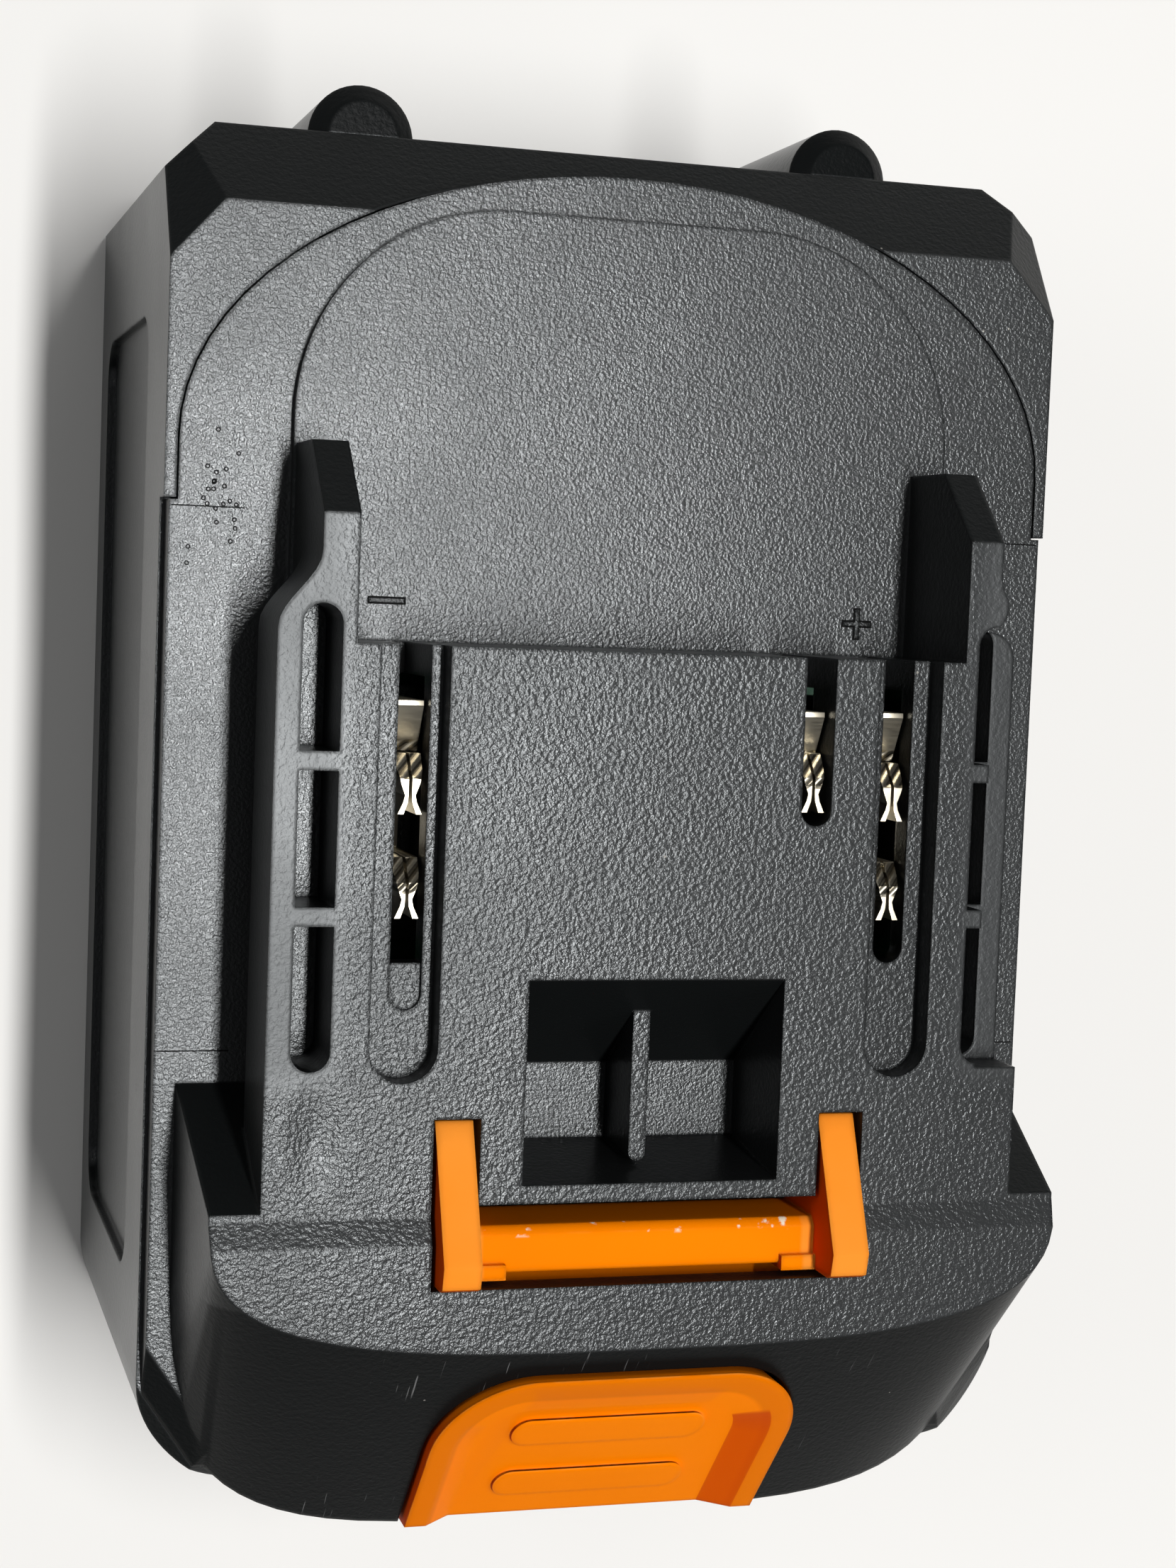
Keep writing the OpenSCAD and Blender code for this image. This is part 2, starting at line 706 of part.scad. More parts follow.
// Openings of the contacts through the roof
module terminal_cuts() {
    pair() slab(top_z - channel_depth, top_z + LAP)
        channel(channel_x, channel_w, ahead(channel_l), term_y + LAP);
    contact_slot(channel_x, contact_slot_l);
    contact_slot(sense_x, sense_slot_l);
    contact_slot(negative_x, contact_slot_l, square_end = true);
    slab(top_z - channel_depth - recess_depth, top_z)
        channel(negative_x, contact_slot_w, ahead(contact_slot_l + recess_l), ahead(contact_slot_l) + EPS);
}

// Opening of the latch through the roof and the deck
module latch_opening() {
    slab(shoulder_z, deck_z + LAP) {
        span(-hook_in - hook_slot_w, hook_in + hook_slot_w, ahead(cross_end), ahead(cross_start));
        for (s = SIDES)
            span(s * hook_in, s * (hook_in + hook_slot_w), ahead(cross_end), ahead(hook_start));
    }
}

// Outline of the button grown by g, open to the front
module button_outline(g = 0) {
    y1 = ahead(button_start) + g;
    a = button_a + g;
    r = button_r + g;
    span(-a, a, chin_y - LAP, y1 - r);
    span(-a + r, a - r, y1 - r - EPS, y1);
    for (s = SIDES) translate([s * (a - r), y1 - r]) circle(r);
}

// Nose from the shoulder joint up to the deck, inset by t
module nose_body(t = 0) {
    slope_share = 0.4;
    hull() {
        slab(seam_z - (t > 0 ? LAP : 0), seam_z + EPS) {
            intersection() {
                chin_outline(t);
                span(-FAR, FAR, -FAR, ahead(chin_start) + EPS);
            }
            span(-chin_a + t, chin_a - t, ahead(chin_start), ahead(wing_start) - t);
        }
        slab(deck_z - t - deck_edge, deck_z - t)
            polygon(bulge(deck_a - t, ahead(deck_start) - t, ahead(deck_end) + slope_share * t, deck_n));
    }
}

// What the ramp between the rail top and the deck takes off
module deck_ramp() {
    foot = ahead(deck_start);
    head = ahead(deck_start + deck_ramp_l);
    rear = foot + LAP;
    above = deck_z + LAP;
    across(-FAR, FAR, [[rear, top_z], [foot, top_z], [head, deck_z], [head, above], [rear, above]]);
}

module upper_solid() {
    difference() {
        slab(seam_z, shoulder_z) intersection() {
            main_outline(side_step);
            span(-FAR, FAR, -FAR, strip_end_y - seam);
        }
        body_bevels();
    }
    slab(shoulder_z - skirt_h, shoulder_z) intersection() {
        tongue_outline();
        span(-FAR, FAR, strip_end_y - seam - LAP, FAR);
    }
    slab(shoulder_z - EPS, landing_z) rounded(landing_a, term_y, landing_y, LAP, landing_r);
    block(-neck_a, neck_a, ahead(deck_start), term_y, shoulder_z - EPS, top_z);
    pair() slab(flange_z, top_z) rail_outline();
    pair() post();
    difference() {
        nose_body();
        deck_ramp();
    }
}

// Space under the shell
module upper_hollow() {
    nose_body(nose_t);
    difference() {
        block(-neck_a + neck_t, neck_a - neck_t, ahead(deck_start), ahead(neck_t),
            seam_z - EPS, top_z - roof_t);
        pocket_tub();
    }
    slab(shoulder_z - skirt_h - LAP, seam_z) intersection() {
        tongue_outline(skirt_t);
        span(-FAR, FAR, strip_end_y - seam - 2 * LAP, FAR);
    }
}

// Arm from under the shoulder to a rear boss, as [y, z]
module rear_ear(x) {
    bridge_z = frame_top + part_gap;
    ear_top = boss_bottom + boss_h;
    across(x - boss_r, x + boss_r,
        [[ear_y - bridge_l, bridge_z + bridge_t], [ear_y - bridge_l, bridge_z], [ear_y, bridge_z],
         [ear_y, boss_bottom], [bump_y, boss_bottom], [bump_y, ear_top], [ear_y + ear_t, ear_top],
         [ear_y + ear_t, under_bevel(ear_y + ear_t) - part_gap], [ear_y, under_bevel(ear_y) - part_gap]]);
}

// Bosses that take the case screws and the pads that stop the latch
module upper_bosses() {
    intersection() {
        nose_body(nose_t / 2);
        pair() translate([front_screw_x, front_screw_y, seam_z]) cylinder(h = rail_h, r = boss_r);
    }
    for (s = SIDES) {
        translate([s * front_screw_x, front_screw_y, boss_bottom])
            cylinder(h = seam_z - boss_bottom + EPS, r = boss_r);
        translate([s * bump_x, bump_y, boss_bottom]) cylinder(h = boss_h, r = boss_r);
        rear_ear(s * bump_x);
        translate([s * spring_x, spring_y, web_top + fit_gap / 2])
            cylinder(h = deck_z - nose_t - web_top, r = stop_r);
    }
}

module screw_places() {
    for (s = SIDES) {
        translate([s * front_screw_x, front_screw_y, 0]) children();
        translate([s * bump_x, bump_y, 0]) children();
    }
}

module upper_case()
    color(plastic) difference() {
        union() {
            difference() {
                upper_solid();
                upper_hollow();
                pair() rail_pockets();
                rail_key();
            }
            upper_bosses();
        }
        pocket_hollow();
        terminal_cuts();
        latch_opening();
        slab(seam_z - LAP, deck_z + LAP) button_outline(latch_gap);
        screw_places() translate([0, 0, boss_bottom - LAP])
            cylinder(h = boss_h + 3 * LAP, d = screw_d + screw_bite);
    }

// Main and chin outlines together, for the foot
module foot_outline(inset) {
    main_outline(inset);
    chin_outline(inset);
}

// Outer form of the lower case, with the rounded foot
module lower_solid() {
    foot_mid = 0.3 * foot_r;
    intersection() {
        union() {
            difference() {
                slab(0, shoulder_z) main_outline();
                body_bevels();
            }
            slab(0, seam_z) chin_outline();
        }
        hull() {
            slab(0, EPS) foot_outline(foot_r);
            slab(foot_mid, foot_mid + EPS) foot_outline(foot_mid);
            slab(foot_r, shoulder_z) foot_outline(-LAP);
        }
    }
    for (s = SIDES) translate([s * bump_x, bump_y, 0]) rotate_extrude()
        polygon([[0, 0], [bump_r - bump_chamfer, 0], [bump_r, bump_chamfer],
                 [bump_r, bump_top - bump_chamfer], [bump_r - bump_chamfer, bump_top], [0, bump_top]]);
}

// Space inside the lower case, under the bevels and the rear corners' roof
module lower_hollow() {
    difference() {
        union() {
            slab(floor_t, seam_z) main_outline(wall);
            slab(floor_t, FAR) intersection() {
                main_outline(wall);
                span(-FAR, FAR, -FAR, strip_end_y);
            }
        }
        translate([0, 0, -bevel_drop]) body_bevels();
    }
    slab(floor_t, FAR) chin_outline(wall);
}

// Wall behind the notch that the button's apron moves in
module notch_wall() {
    y0 = chin_y + apron_t + 2 * fit_gap;
    top = slope_z(y0) + button_proud - button_t - latch_travel - stop_gap;
    block(-button_a - 2 * LAP, button_a + 2 * LAP, y0, y0 + notch_t, floor_t, top);
}

// Outline of a side panel as [along, up]
module panel_outline()
    translate([0, (floor_t + frame_top) / 2]) rounded(panel_a, -panel_h, panel_h, panel_r, panel_r);

module lower_case()
    color(plastic) difference() {
        union() {
            difference() {
                lower_solid();
                lower_hollow();
                slab(notch_z, FAR) button_outline(latch_gap);
            }
            notch_wall();
            screw_places() translate([0, 0, floor_t - EPS])
                cylinder(h = boss_bottom - floor_t, r = pillar_r);
        }
        slab(seam_z, FAR) span(-FAR, FAR, -FAR, strip_end_y);
        slab(shoulder_z - skirt_h - seam, FAR) tongue_outline(-seam);
        slab(boss_bottom, boss_bottom + boss_h + 2 * fit_gap) for (s = SIDES) {
            translate([s * bump_x, bump_y]) circle(boss_r + fit_gap);
            span(s * bump_x - boss_r - fit_gap, s * bump_x + boss_r + fit_gap, ear_y, bump_y);
        }
        for (s = SIDES) translate([s * front_screw_x, front_screw_y, boss_bottom])
            cylinder(h = FAR, r = boss_r + fit_gap);
        screw_places() translate([0, 0, -LAP]) {
            cylinder(h = screw_seat + LAP, r = head_hole_r);
            cylinder(h = boss_bottom + 2 * LAP, d = screw_d + 2 * fit_gap);
        }
        for (s = SIDES) translate([s * (case_w / 2 - panel_depth), 0, 0]) rotate([90, 0, s * 90])
            linear_extrude(wall) panel_outline();
    }

// Side view of a hook as [y, z]
function hook_profile() = let (rear = ahead(hook_start) - latch_gap, top = top_z + hook_rise) [
    [rear, spring_top], [rear, top_z - hook_lip], [ahead(cross_start + hook_peak), top],
    [latch_front + latch_gap, top - hook_lip / 3], [latch_front, top - hook_lip], [latch_front, spring_top]];

// Side view of the bar between the hooks as [y, z]
function bar_profile(front) = let (rear = ahead(cross_start + bar_back), top = top_z - bar_drop) [
    [rear, spring_top], [rear, top - bar_lip], [rear - bar_lip, top], [front + fit_gap, top],
    [front, top - fit_gap], [front, spring_top]];

// Hooks, bar and the web that carries them on the springs
module latch_frame() {
    bar_front = ahead(cross_end - bar_space);
    for (s = SIDES) {
        across(s * (hook_in + latch_gap), s * hook_out, hook_profile());
        block(s * (hook_in - hook_foot), s * hook_out, latch_front, latch_front + hook_lip,
            spring_top, top_z - 2 * fit_gap);
        slab(spring_top, web_top) translate([s * spring_x, spring_y]) square(2 * spring_rest, center = true);
        translate([s * spring_x, spring_y, spring_top - pin_h]) cylinder(h = pin_h + EPS, r = pin_r);
    }
    across(-hook_out, hook_out, bar_profile(bar_front));
    block(-spring_x, spring_x, spring_y - web_t, bar_front + EPS, spring_top, web_top);
    intersection() {
        block(-button_a + button_r, button_a - button_r, chin_y + apron_t, spring_y, spring_top, web_top);
        on_slope() slab(-FAR, (dish_skin + button_proud - button_t) / 2) square(FAR, center = true);
    }
}

// Raised grip ribs in the thumb dish, drawn level
module grip_ribs() {
    a = (grip_l - grip_w) / 2;
    for (i = [0, 1]) translate([0, ahead(grip_start + i * grip_pitch)]) {
        square([2 * a, grip_w], center = true);
        for (s = SIDES) translate([s * a, 0]) circle(grip_w / 2);
    }
}

// Thumb button on the slope, with its apron
module latch_button() {
    on_slope() difference() {
        slab(button_proud - button_t, button_proud) intersection() {
            button_outline();
            span(-FAR, FAR, chin_y, FAR);
        }
        difference() {
            hull() {
                slab(dish_skin, dish_skin + EPS) button_outline(-dish_rim - dish_draft);
                slab(button_proud, button_proud + LAP) button_outline(-dish_rim);
            }
            slab(dish_skin - LAP, dish_skin + grip_h) grip_ribs();
        }
    }
    across(-button_a, button_a,
        [[chin_y, seam_z - apron_h], [chin_y + apron_t, seam_z - apron_h], [chin_y + apron_t, seam_z],
         [chin_y, slope_z(chin_y) + dish_skin]]);
}

module release_latch()
    color(orange) {
        latch_frame();
        latch_button();
    }

// Middle line of a spring's wire
function helix(r, h, turns, steps) =
    [for (i = [0:turns * steps]) let (a = 360 * i / steps)
        [r * cos(a), r * sin(a), h * i / (turns * steps)]];

// Least space between a point of the wire's line and the points about one turn on
function least_space(path, steps) =
    min([for (i = [0:len(path) - 1], j = [i + steps - 1:i + steps + 1])
        if (j < len(path)) norm(path[j] - path[i])]);

// Round wire along a helix, six-sided
module coil(r, wire, h, turns) {
    steps = 8;
    sides = 6;
    path = helix(r, h, turns, steps);
    n = len(path);
    rings = [for (i = [0:n - 1], k = [0:sides - 1])
        let (a = 360 * i / steps, b = 360 * k / sides, e = r + wire * cos(b) / 2)
            [e * cos(a), e * sin(a), path[i][2] + wire * sin(b) / 2]];
    walls = [for (i = [0:n - 2], k = [0:sides - 1])
        let (p = i * sides + k, q = i * sides + (k + 1) % sides)
            each [[p, p + sides, q + sides], [p, q + sides, q]]];
    ends = [for (k = [1:sides - 2])
        each [[0, k, k + 1], [(n - 1) * sides, (n - 1) * sides + k + 1, (n - 1) * sides + k]]];
    echo(least_gap = least_space(path, steps) - wire);
    polyhedron(rings, concat(walls, ends));
}

module latch_spring(s)
    color(nickel) translate([s * spring_x, spring_y, frame_top + wire_d / 2])
        coil((spring_d - wire_d) / 2, wire_d, spring_h - wire_d, spring_turns);

function cell_y(row) = cells_y + (row - (cell_rows - 1) / 2) * cell_pitch;
function cell_z(layer) = frame_z + frame_rim + cell_d / 2 + layer * cell_pitch;

// One cell: the buttons of neighbouring rows point to opposite sides
module cell(index) {
    row = index % cell_rows;
    layer = floor(index / cell_rows);
    s = row % 2 == 0 ? -1 : 1;
    r = cell_d / 2;
    can_l = cell_l - cell_button_h;
    crimp = can_l - crimp_back;
    color(row % 2 == 0 ? "#3f6f8f" : "#3f7f6f")
        translate([-s * cell_l / 2, cell_y(row), cell_z(layer)]) rotate([0, s * 90, 0]) rotate_extrude()
            polygon([[0, 0], [r - can_bevel, 0], [r, can_bevel],
                     [r, crimp - can_bevel], [r - crimp_depth, crimp], [r, crimp + can_bevel],
                     [r, can_l - can_bevel], [r - can_bevel, can_l], [r - can_rim, can_l],
                     [r - can_rim, can_l - crimp_depth], [cell_button_r + can_bevel, can_l - crimp_depth],
                     [cell_button_r, cell_l], [0, cell_l]]);
}

module cell_frame(s) {
    x0 = cell_l / 2 - frame_grip;
    color("#30343a") {
        difference() {
            block(s * x0, s * cell_l / 2, cells_y - frame_l / 2, cells_y + frame_l / 2, frame_z, frame_top);
            for (row = [0:cell_rows - 1], layer = [0:cell_layers - 1])
                translate([s * (x0 - LAP), cell_y(row), cell_z(layer)]) rotate([0, s * 90, 0])
                    cylinder(h = frame_grip + 2 * LAP, r = cell_d / 2 + cell_play);
        }
        translate([s * spring_x, spring_y, frame_top - EPS]) cylinder(h = pin_h, r = pin_r);
        for (y = board_post_y) translate([s * board_post_x, y, frame_top - EPS])
            cylinder(h = board_lift + EPS, r = board_post_r);
    }
}

// Rows that one link joins, on the given side
function links(s) = s < 0 ? [[0, 1], [2, 3], [4, 4]] : [[0, 0], [1, 2], [3, 4]];

module nickel_strips(s) {
    x0 = s * cell_l / 2;
    x1 = s * (cell_l / 2 + strip_t);
    last_y = cell_y(s < 0 ? cell_rows - 1 : 0);
    tab_y = s < 0 ? board_post_y[1] : board_post_y[0];
    tab_z = frame_top - tab_w + LAP;
    color(nickel) {
        for (link = links(s)) {
            for (row = link)
                block(x0, x1, cell_y(row) - strip_w / 2, cell_y(row) + strip_w / 2, cell_z(0) - strip_reach,
                    cell_z(cell_layers - 1) + strip_reach);
            for (layer = [0:cell_layers - 1])
                block(x0, x1, cell_y(link[0]) - EPS, cell_y(link[1]) + EPS, cell_z(layer) - strip_w / 2,
                    cell_z(layer) + strip_w / 2);
        }
        block(x0, x1, last_y - tab_w / 2, last_y + tab_w / 2, cell_z(cell_layers - 1), frame_top);
        block(x0, x1, tab_y, last_y, tab_z, frame_top);
        block(x0, x1, tab_y - tab_w / 2, tab_y + tab_w / 2, tab_z, board_top);
    }
}

module insulator(s) {
    half_h = frame_h / 2 - sheet_in;
    color("#e8dcb8") translate([s * (cell_l / 2 + strip_t + sheet_t / 2), cells_y, frame_z + frame_h / 2])
        rotate([90, 0, 90]) linear_extrude(sheet_t, center = true)
            rounded(frame_l / 2 - sheet_in, -half_h, half_h, sheet_r, sheet_r);
}

module bottom_pad() {
    half_l = frame_l / 2 - pad_in;
    color("#4a4a4c") slab(floor_t, frame_z) translate([0, cells_y])
        rounded(cell_l / 2 - pad_in / 2, -half_l, half_l, sheet_r, sheet_r);
}

module circuit_board()
    color("#1f5a3a") difference() {
        block(-board_a, board_a, board_y[0], board_y[1], board_z, board_top);
        for (s = SIDES, y = board_post_y)
            translate([s * board_post_x, y, board_z - LAP]) cylinder(h = board_t + 2 * LAP, r = board_hole_r);
    }

// A row of parts soldered on the board, centred across the pack
module part_row(y, size, count, pitch)
    for (i = [0:count - 1])
        translate([(i - (count - 1) / 2) * pitch - size[0] / 2, y, board_top]) cube(size);

module board_components()
    color("#222222") {
        part_row(board_y[0] + part_gap, [chip_l, chip_w, chip_h], chip_count, chip_pitch);
        part_row(term_y + controller_back, [controller_l, controller_w, chip_h], 1, 0);
        part_row(board_y[1] - board_post_end, [resistor_l, resistor_w, resistor_h], resistor_count,
            resistor_pitch);
    }

// Insulating base with one block under each contact
module terminal_holder() {
    rear = ahead(neck_t + LAP);
    base_a = neck_a - neck_t - fit_gap;
    color("#3a3a3c") {
        block(-base_a, base_a, ahead(contact_slot_l), rear, board_top, board_top + holder_base);
        for (x = [negative_x, sense_x, channel_x])
            block(x - holder_a, x + holder_a, ahead(contact_end(x)) - part_gap, rear,
                board_top + holder_base - EPS, holder_top);
    }
}

// Top of the contact at x, number of its forks, place of its first fork and its front end
function contact_top(x) = top_z - (x == sense_x ? sense_drop : channel_depth + contact_drop);
function contact_forks(x) = x == sense_x ? 1 : 2;
function contact_start(x) = x == sense_x ? sense_start : fork_start;
function contact_end(x) = contact_start(x) + fork_l + (contact_forks(x) - 1) * fork_pitch;

// One leaf of a fork, as seen from above, on the right of the gap: it narrows to the grip and flares again.
// Its edges are given as [half width, share of the fork's length]
module fork_leaf() {
    grip = 0.68;
    outer = [[contact_a, 0], [contact_a * 0.95, 0.25], [(contact_a + fork_pinch) / 2, 0.5],
             [fork_pinch, grip], [fork_pinch * 1.3, 0.8], [contact_a * 0.92, 1]];
    inner = [[contact_a * 0.45, 1], [fork_gap * 1.3, 0.8], [fork_gap, grip], [fork_gap, 0]];
    polygon([for (p = concat(outer, inner)) [p[0], -fork_l * p[1]]]);
}

// One fork whose top rises from its root towards the grip
module fork(x, start) {
    top = contact_top(x);
    rise_l = 0.4 * fork_l;
    intersection() {
        slab(holder_top, top) translate([x, ahead(start)]) for (s = SIDES) scale([s, 1]) fork_leaf();
        across(x - contact_a, x + contact_a,
            [[ahead(start), holder_top], [ahead(start), top - fork_rise], [ahead(start + rise_l), top],
             [ahead(start + fork_l), top], [ahead(start + fork_l), holder_top]]);
    }
}

// Contact: a base strip with a bent plate at its rear and forks before it
module contact(x) {
    y0 = ahead(plate_start);
    y1 = ahead(plate_start + contact_t);
    y2 = ahead(plate_start + plate_l);
    top = contact_top(x) - LAP;
    fold = 1.5 * contact_t;
    color(nickel) {
        block(x - contact_a, x + contact_a, ahead(contact_end(x)), y0, holder_top, holder_top + contact_t);
        across(x - contact_a, x + contact_a,
            [[y0, holder_top], [y0, top], [y1, top], [y2, top - plate_fall], [y2, top - plate_fall - fold],
             [y1, top - fold], [y1, holder_top]]);
        for (i = [0:contact_forks(x) - 1]) fork(x, contact_start(x) + i * fork_pitch);
    }
}

module case_screws()
    color("#8a8d90") screw_places() {
        translate([0, 0, screw_seat - screw_head_h]) cylinder(h = screw_head_h, d = screw_head_d);
        translate([0, 0, screw_seat - EPS]) cylinder(h = screw_seat_t + boss_h - stop_gap, d = screw_d);
    }

upper_case();
lower_case();
release_latch();
latch_spring(-1);  // latch_spring_left
latch_spring(1);  // latch_spring_right
terminal_holder();
contact(negative_x);  // contact_negative
contact(channel_x);  // contact_positive
contact(sense_x);  // contact_sense
circuit_board();
board_components();
cell_frame(-1);  // cell_frame_left
cell_frame(1);  // cell_frame_right
nickel_strips(-1);  // nickel_strips_left
nickel_strips(1);  // nickel_strips_right
insulator(-1);  // insulator_left
insulator(1);  // insulator_right
bottom_pad();
case_screws();
for (i = [1:cell_count]) cell(i - 1);
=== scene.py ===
"""Looks of a slide-on battery pack for a cordless tool.

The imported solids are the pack's shape. This script softens their moulded edges, gives every piece
its finish, adds the small moulded marks, and sets up the table, the light and the camera.
"""

from __future__ import annotations

import json
import logging
import math
import random
from collections.abc import Callable
from dataclasses import dataclass, field
from enum import Enum
from functools import wraps

import bmesh
import bpy
from mathutils import Matrix, Vector

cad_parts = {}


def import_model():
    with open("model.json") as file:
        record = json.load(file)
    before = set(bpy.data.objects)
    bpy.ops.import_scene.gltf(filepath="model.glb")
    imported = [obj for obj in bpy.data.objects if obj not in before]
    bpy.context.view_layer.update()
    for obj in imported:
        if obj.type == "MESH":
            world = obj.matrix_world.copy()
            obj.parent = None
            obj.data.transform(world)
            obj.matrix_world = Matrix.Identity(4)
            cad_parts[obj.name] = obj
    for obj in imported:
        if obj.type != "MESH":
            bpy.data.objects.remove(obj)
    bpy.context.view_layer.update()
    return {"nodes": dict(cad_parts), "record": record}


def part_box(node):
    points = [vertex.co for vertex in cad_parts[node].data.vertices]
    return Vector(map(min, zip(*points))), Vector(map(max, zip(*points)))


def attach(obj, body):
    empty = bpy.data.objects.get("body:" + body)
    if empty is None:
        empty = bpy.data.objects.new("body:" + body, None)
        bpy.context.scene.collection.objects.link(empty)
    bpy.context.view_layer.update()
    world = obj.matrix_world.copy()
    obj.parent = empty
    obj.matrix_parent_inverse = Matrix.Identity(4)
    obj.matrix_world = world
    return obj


LOG = logging.getLogger("battery_pack")
MM = 0.001

# Upward share of a normal: below the first number a face is a slope, above the second it is level.
LEVEL_FROM, LEVEL_FULL = 0.84, 0.93
# How deep the added marks reach into the face that carries them.
MARK_SINK = 0.05 * MM

Socket = bpy.types.NodeSocket
Sockets = dict[str, Socket]
Nodes = dict[str, bpy.types.Object]
Point = tuple[float, float]
Place = tuple[float, float, float]
Colour = tuple[float, float, float]
Number = float | Socket
Paint = Colour | Socket


class Side(Enum):
    """Left and right of the pack, as signs along X."""

    LEFT = -1
    RIGHT = 1

    def of(self, pair: str) -> str:
        """Name of this side's piece of a pair."""
        return f"{pair}_{self.name.lower()}"


class Graph:
    """Adds nodes to a shader tree and links them."""

    # Places of a Mix node's sockets, which share their names.
    MIX_NUMBERS, MIX_NUMBER = slice(2, 4), 0
    MIX_COLOURS, MIX_COLOUR = slice(6, 8), 2

    def __init__(self, tree: bpy.types.NodeTree) -> None:
        """Starts on an emptied tree.

        Args:
            tree: the node tree of a material, a group or the world.
        """
        self.tree = tree
        self.tree.nodes.clear()

    def node(self, kind: str, **settings: object) -> bpy.types.Node:
        """Adds one node.

        Args:
            kind: the node's type name.
            settings: attributes to set on it.

        Returns:
            The new node.
        """
        made = self.tree.nodes.new(kind)
        for name, value in settings.items():
            setattr(made, name, value)
        return made

    def feed(self, socket: Socket, value: object) -> None:
        """Links an input to an output, or sets its plain value.

        Args:
            socket: the input.
            value: the output socket or the plain value.
        """
        if isinstance(value, Socket):
            self.tree.links.new(value, socket)
        else:
            socket.default_value = value

    def fill(self, made: bpy.types.Node, **values: object) -> bpy.types.Node:
        """Feeds several inputs of a node.

        Args:
            made: the node.
            values: its inputs by name, with underscores for spaces.

        Returns:
            The node.
        """
        for name, value in values.items():
            self.feed(made.inputs[name.replace("_", " ")], value)
        return made

    def group(self, tree: bpy.types.NodeTree, **values: object) -> bpy.types.NodeOutputs:
        """Places a node group with its own values, and gives its outputs."""
        return self.fill(self.node("ShaderNodeGroup", node_tree=tree), **values).outputs

    def place(self) -> Socket:
        """Adds the piece's own coordinates."""
        return self.node("ShaderNodeTexCoord").outputs["Object"]

    def normal(self) -> Socket:
        """Adds the normal in the piece's own coordinates."""
        return self.node("ShaderNodeTexCoord").outputs["Normal"]

    def axes(self, vector: Socket) -> tuple[Socket, Socket, Socket]:
        """Splits a vector.

        Args:
            vector: the vector.

        Returns:
            Its parts along X, Y and Z.
        """
        made = self.node("ShaderNodeSeparateXYZ")
        self.feed(made.inputs[0], vector)
        return tuple(made.outputs)

    def mapped(self, kind: str = "POINT", **values: Place) -> Socket:
        """Moves, turns or stretches the piece's own coordinates.

        Args:
            kind: the Mapping node's type.
            values: its inputs by name.

        Returns:
            The changed coordinates.
        """
        made = self.node("ShaderNodeMapping", vector_type=kind)
        return self.fill(made, Vector=self.place(), **values).outputs["Vector"]

    def rounded(self, radius: Number, samples: int) -> Socket:
        """Adds the normal rounded over the edges, by a number of samples."""
        return self.fill(self.node("ShaderNodeBevel", samples=samples), Radius=radius).outputs[0]

    def noise(self, scale: Number, at: Socket | None = None, **values: float) -> Socket:
        """Adds a Noise Texture node.

        Args:
            scale: its scale.
            at: its coordinates, which are the piece's own where none are given.
            values: its other inputs by name.

        Returns:
            The noise.
        """
        made = self.node("ShaderNodeTexNoise")
        at = self.place() if at is None else at
        return self.fill(made, Vector=at, Scale=scale, **values).outputs["Fac"]

    def math(self, operation: str, *values: Number, clamp: bool = False) -> Socket:
        """Adds a Math node.

        Args:
            operation: the node's operation.
            values: its inputs in order.
            clamp: whether the result is held between 0 and 1.

        Returns:
            The result.
        """
        made = self.node("ShaderNodeMath", operation=operation, use_clamp=clamp)
        for socket, value in zip(made.inputs, values):
            self.feed(socket, value)
        return made.outputs[0]

    def dot(self, first: Socket, second: Socket | Place) -> Socket:
        """Adds the dot product of two vectors.

        Args:
            first: one vector.
            second: the other vector.

        Returns:
            The product.
        """
        made = self.node("ShaderNodeVectorMath", operation="DOT_PRODUCT")
        for socket, value in zip(made.inputs, (first, second)):
            self.feed(socket, value)
        return made.outputs["Value"]

    def ramp(self, value: Number, low: Number, high: Number, top: float = 1.0) -> Socket:
        """Adds a smooth Map Range node.

        Args:
            value: the input.
            low: the input that gives 0.
            high: the input that gives the top.
            top: the highest result.

        Returns:
            The result.
        """
        made = self.node("ShaderNodeMapRange", interpolation_type="SMOOTHSTEP")
        self.fill(made, Value=value, From_Min=low, From_Max=high, To_Min=0.0, To_Max=top)
        return made.outputs["Result"]

    def blend(self, factor: Number, first: Paint, second: Paint) -> Socket:
        """Mixes two colours.

        Args:
            factor: share of the second colour.
            first: the first colour.
            second: the second colour.

        Returns:
            The mixed colour.
        """
        made = self.node("ShaderNodeMix", data_type="RGBA")
        self.feed(made.inputs[0], factor)
        for socket, value in zip(made.inputs[self.MIX_COLOURS], (first, second)):
            self.feed(socket, value if isinstance(value, Socket) else (*value, 1.0))
        return made.outputs[self.MIX_COLOUR]

    def lerp(self, factor: Number, first: Number, second: Number) -> Socket:
        """Mixes two numbers.

        Args:
            factor: share of the second number.
            first: the first number.
            second: the second number.

        Returns:
            The mixed number.
        """
        made = self.node("ShaderNodeMix", data_type="FLOAT")
        self.feed(made.inputs[0], factor)
        for socket, value in zip(made.inputs[self.MIX_NUMBERS], (first, second)):
            self.feed(socket, value)
        return made.outputs[self.MIX_NUMBER]

    def bump(self, height: Socket, distance: float, normal: Socket | None = None) -> Socket:
        """Adds a Bump node.

        Args:
            height: the relief, from 0 to 1.
            distance: what a relief of 1 stands for, in metres.
            normal: the normal to start from, which is the surface's own where none is given.

        Returns:
            The bent normal.
        """
        made = self.node("ShaderNodeBump")
        self.fill(made, Height=height, Distance=distance, Strength=1.0)
        if normal is not None:
            self.feed(made.inputs["Normal"], normal)
        return made.outputs["Normal"]


Layout = Callable[["Effects", Graph, Sockets], Sockets]
Giver = Callable[["Effects"], bpy.types.NodeTree]


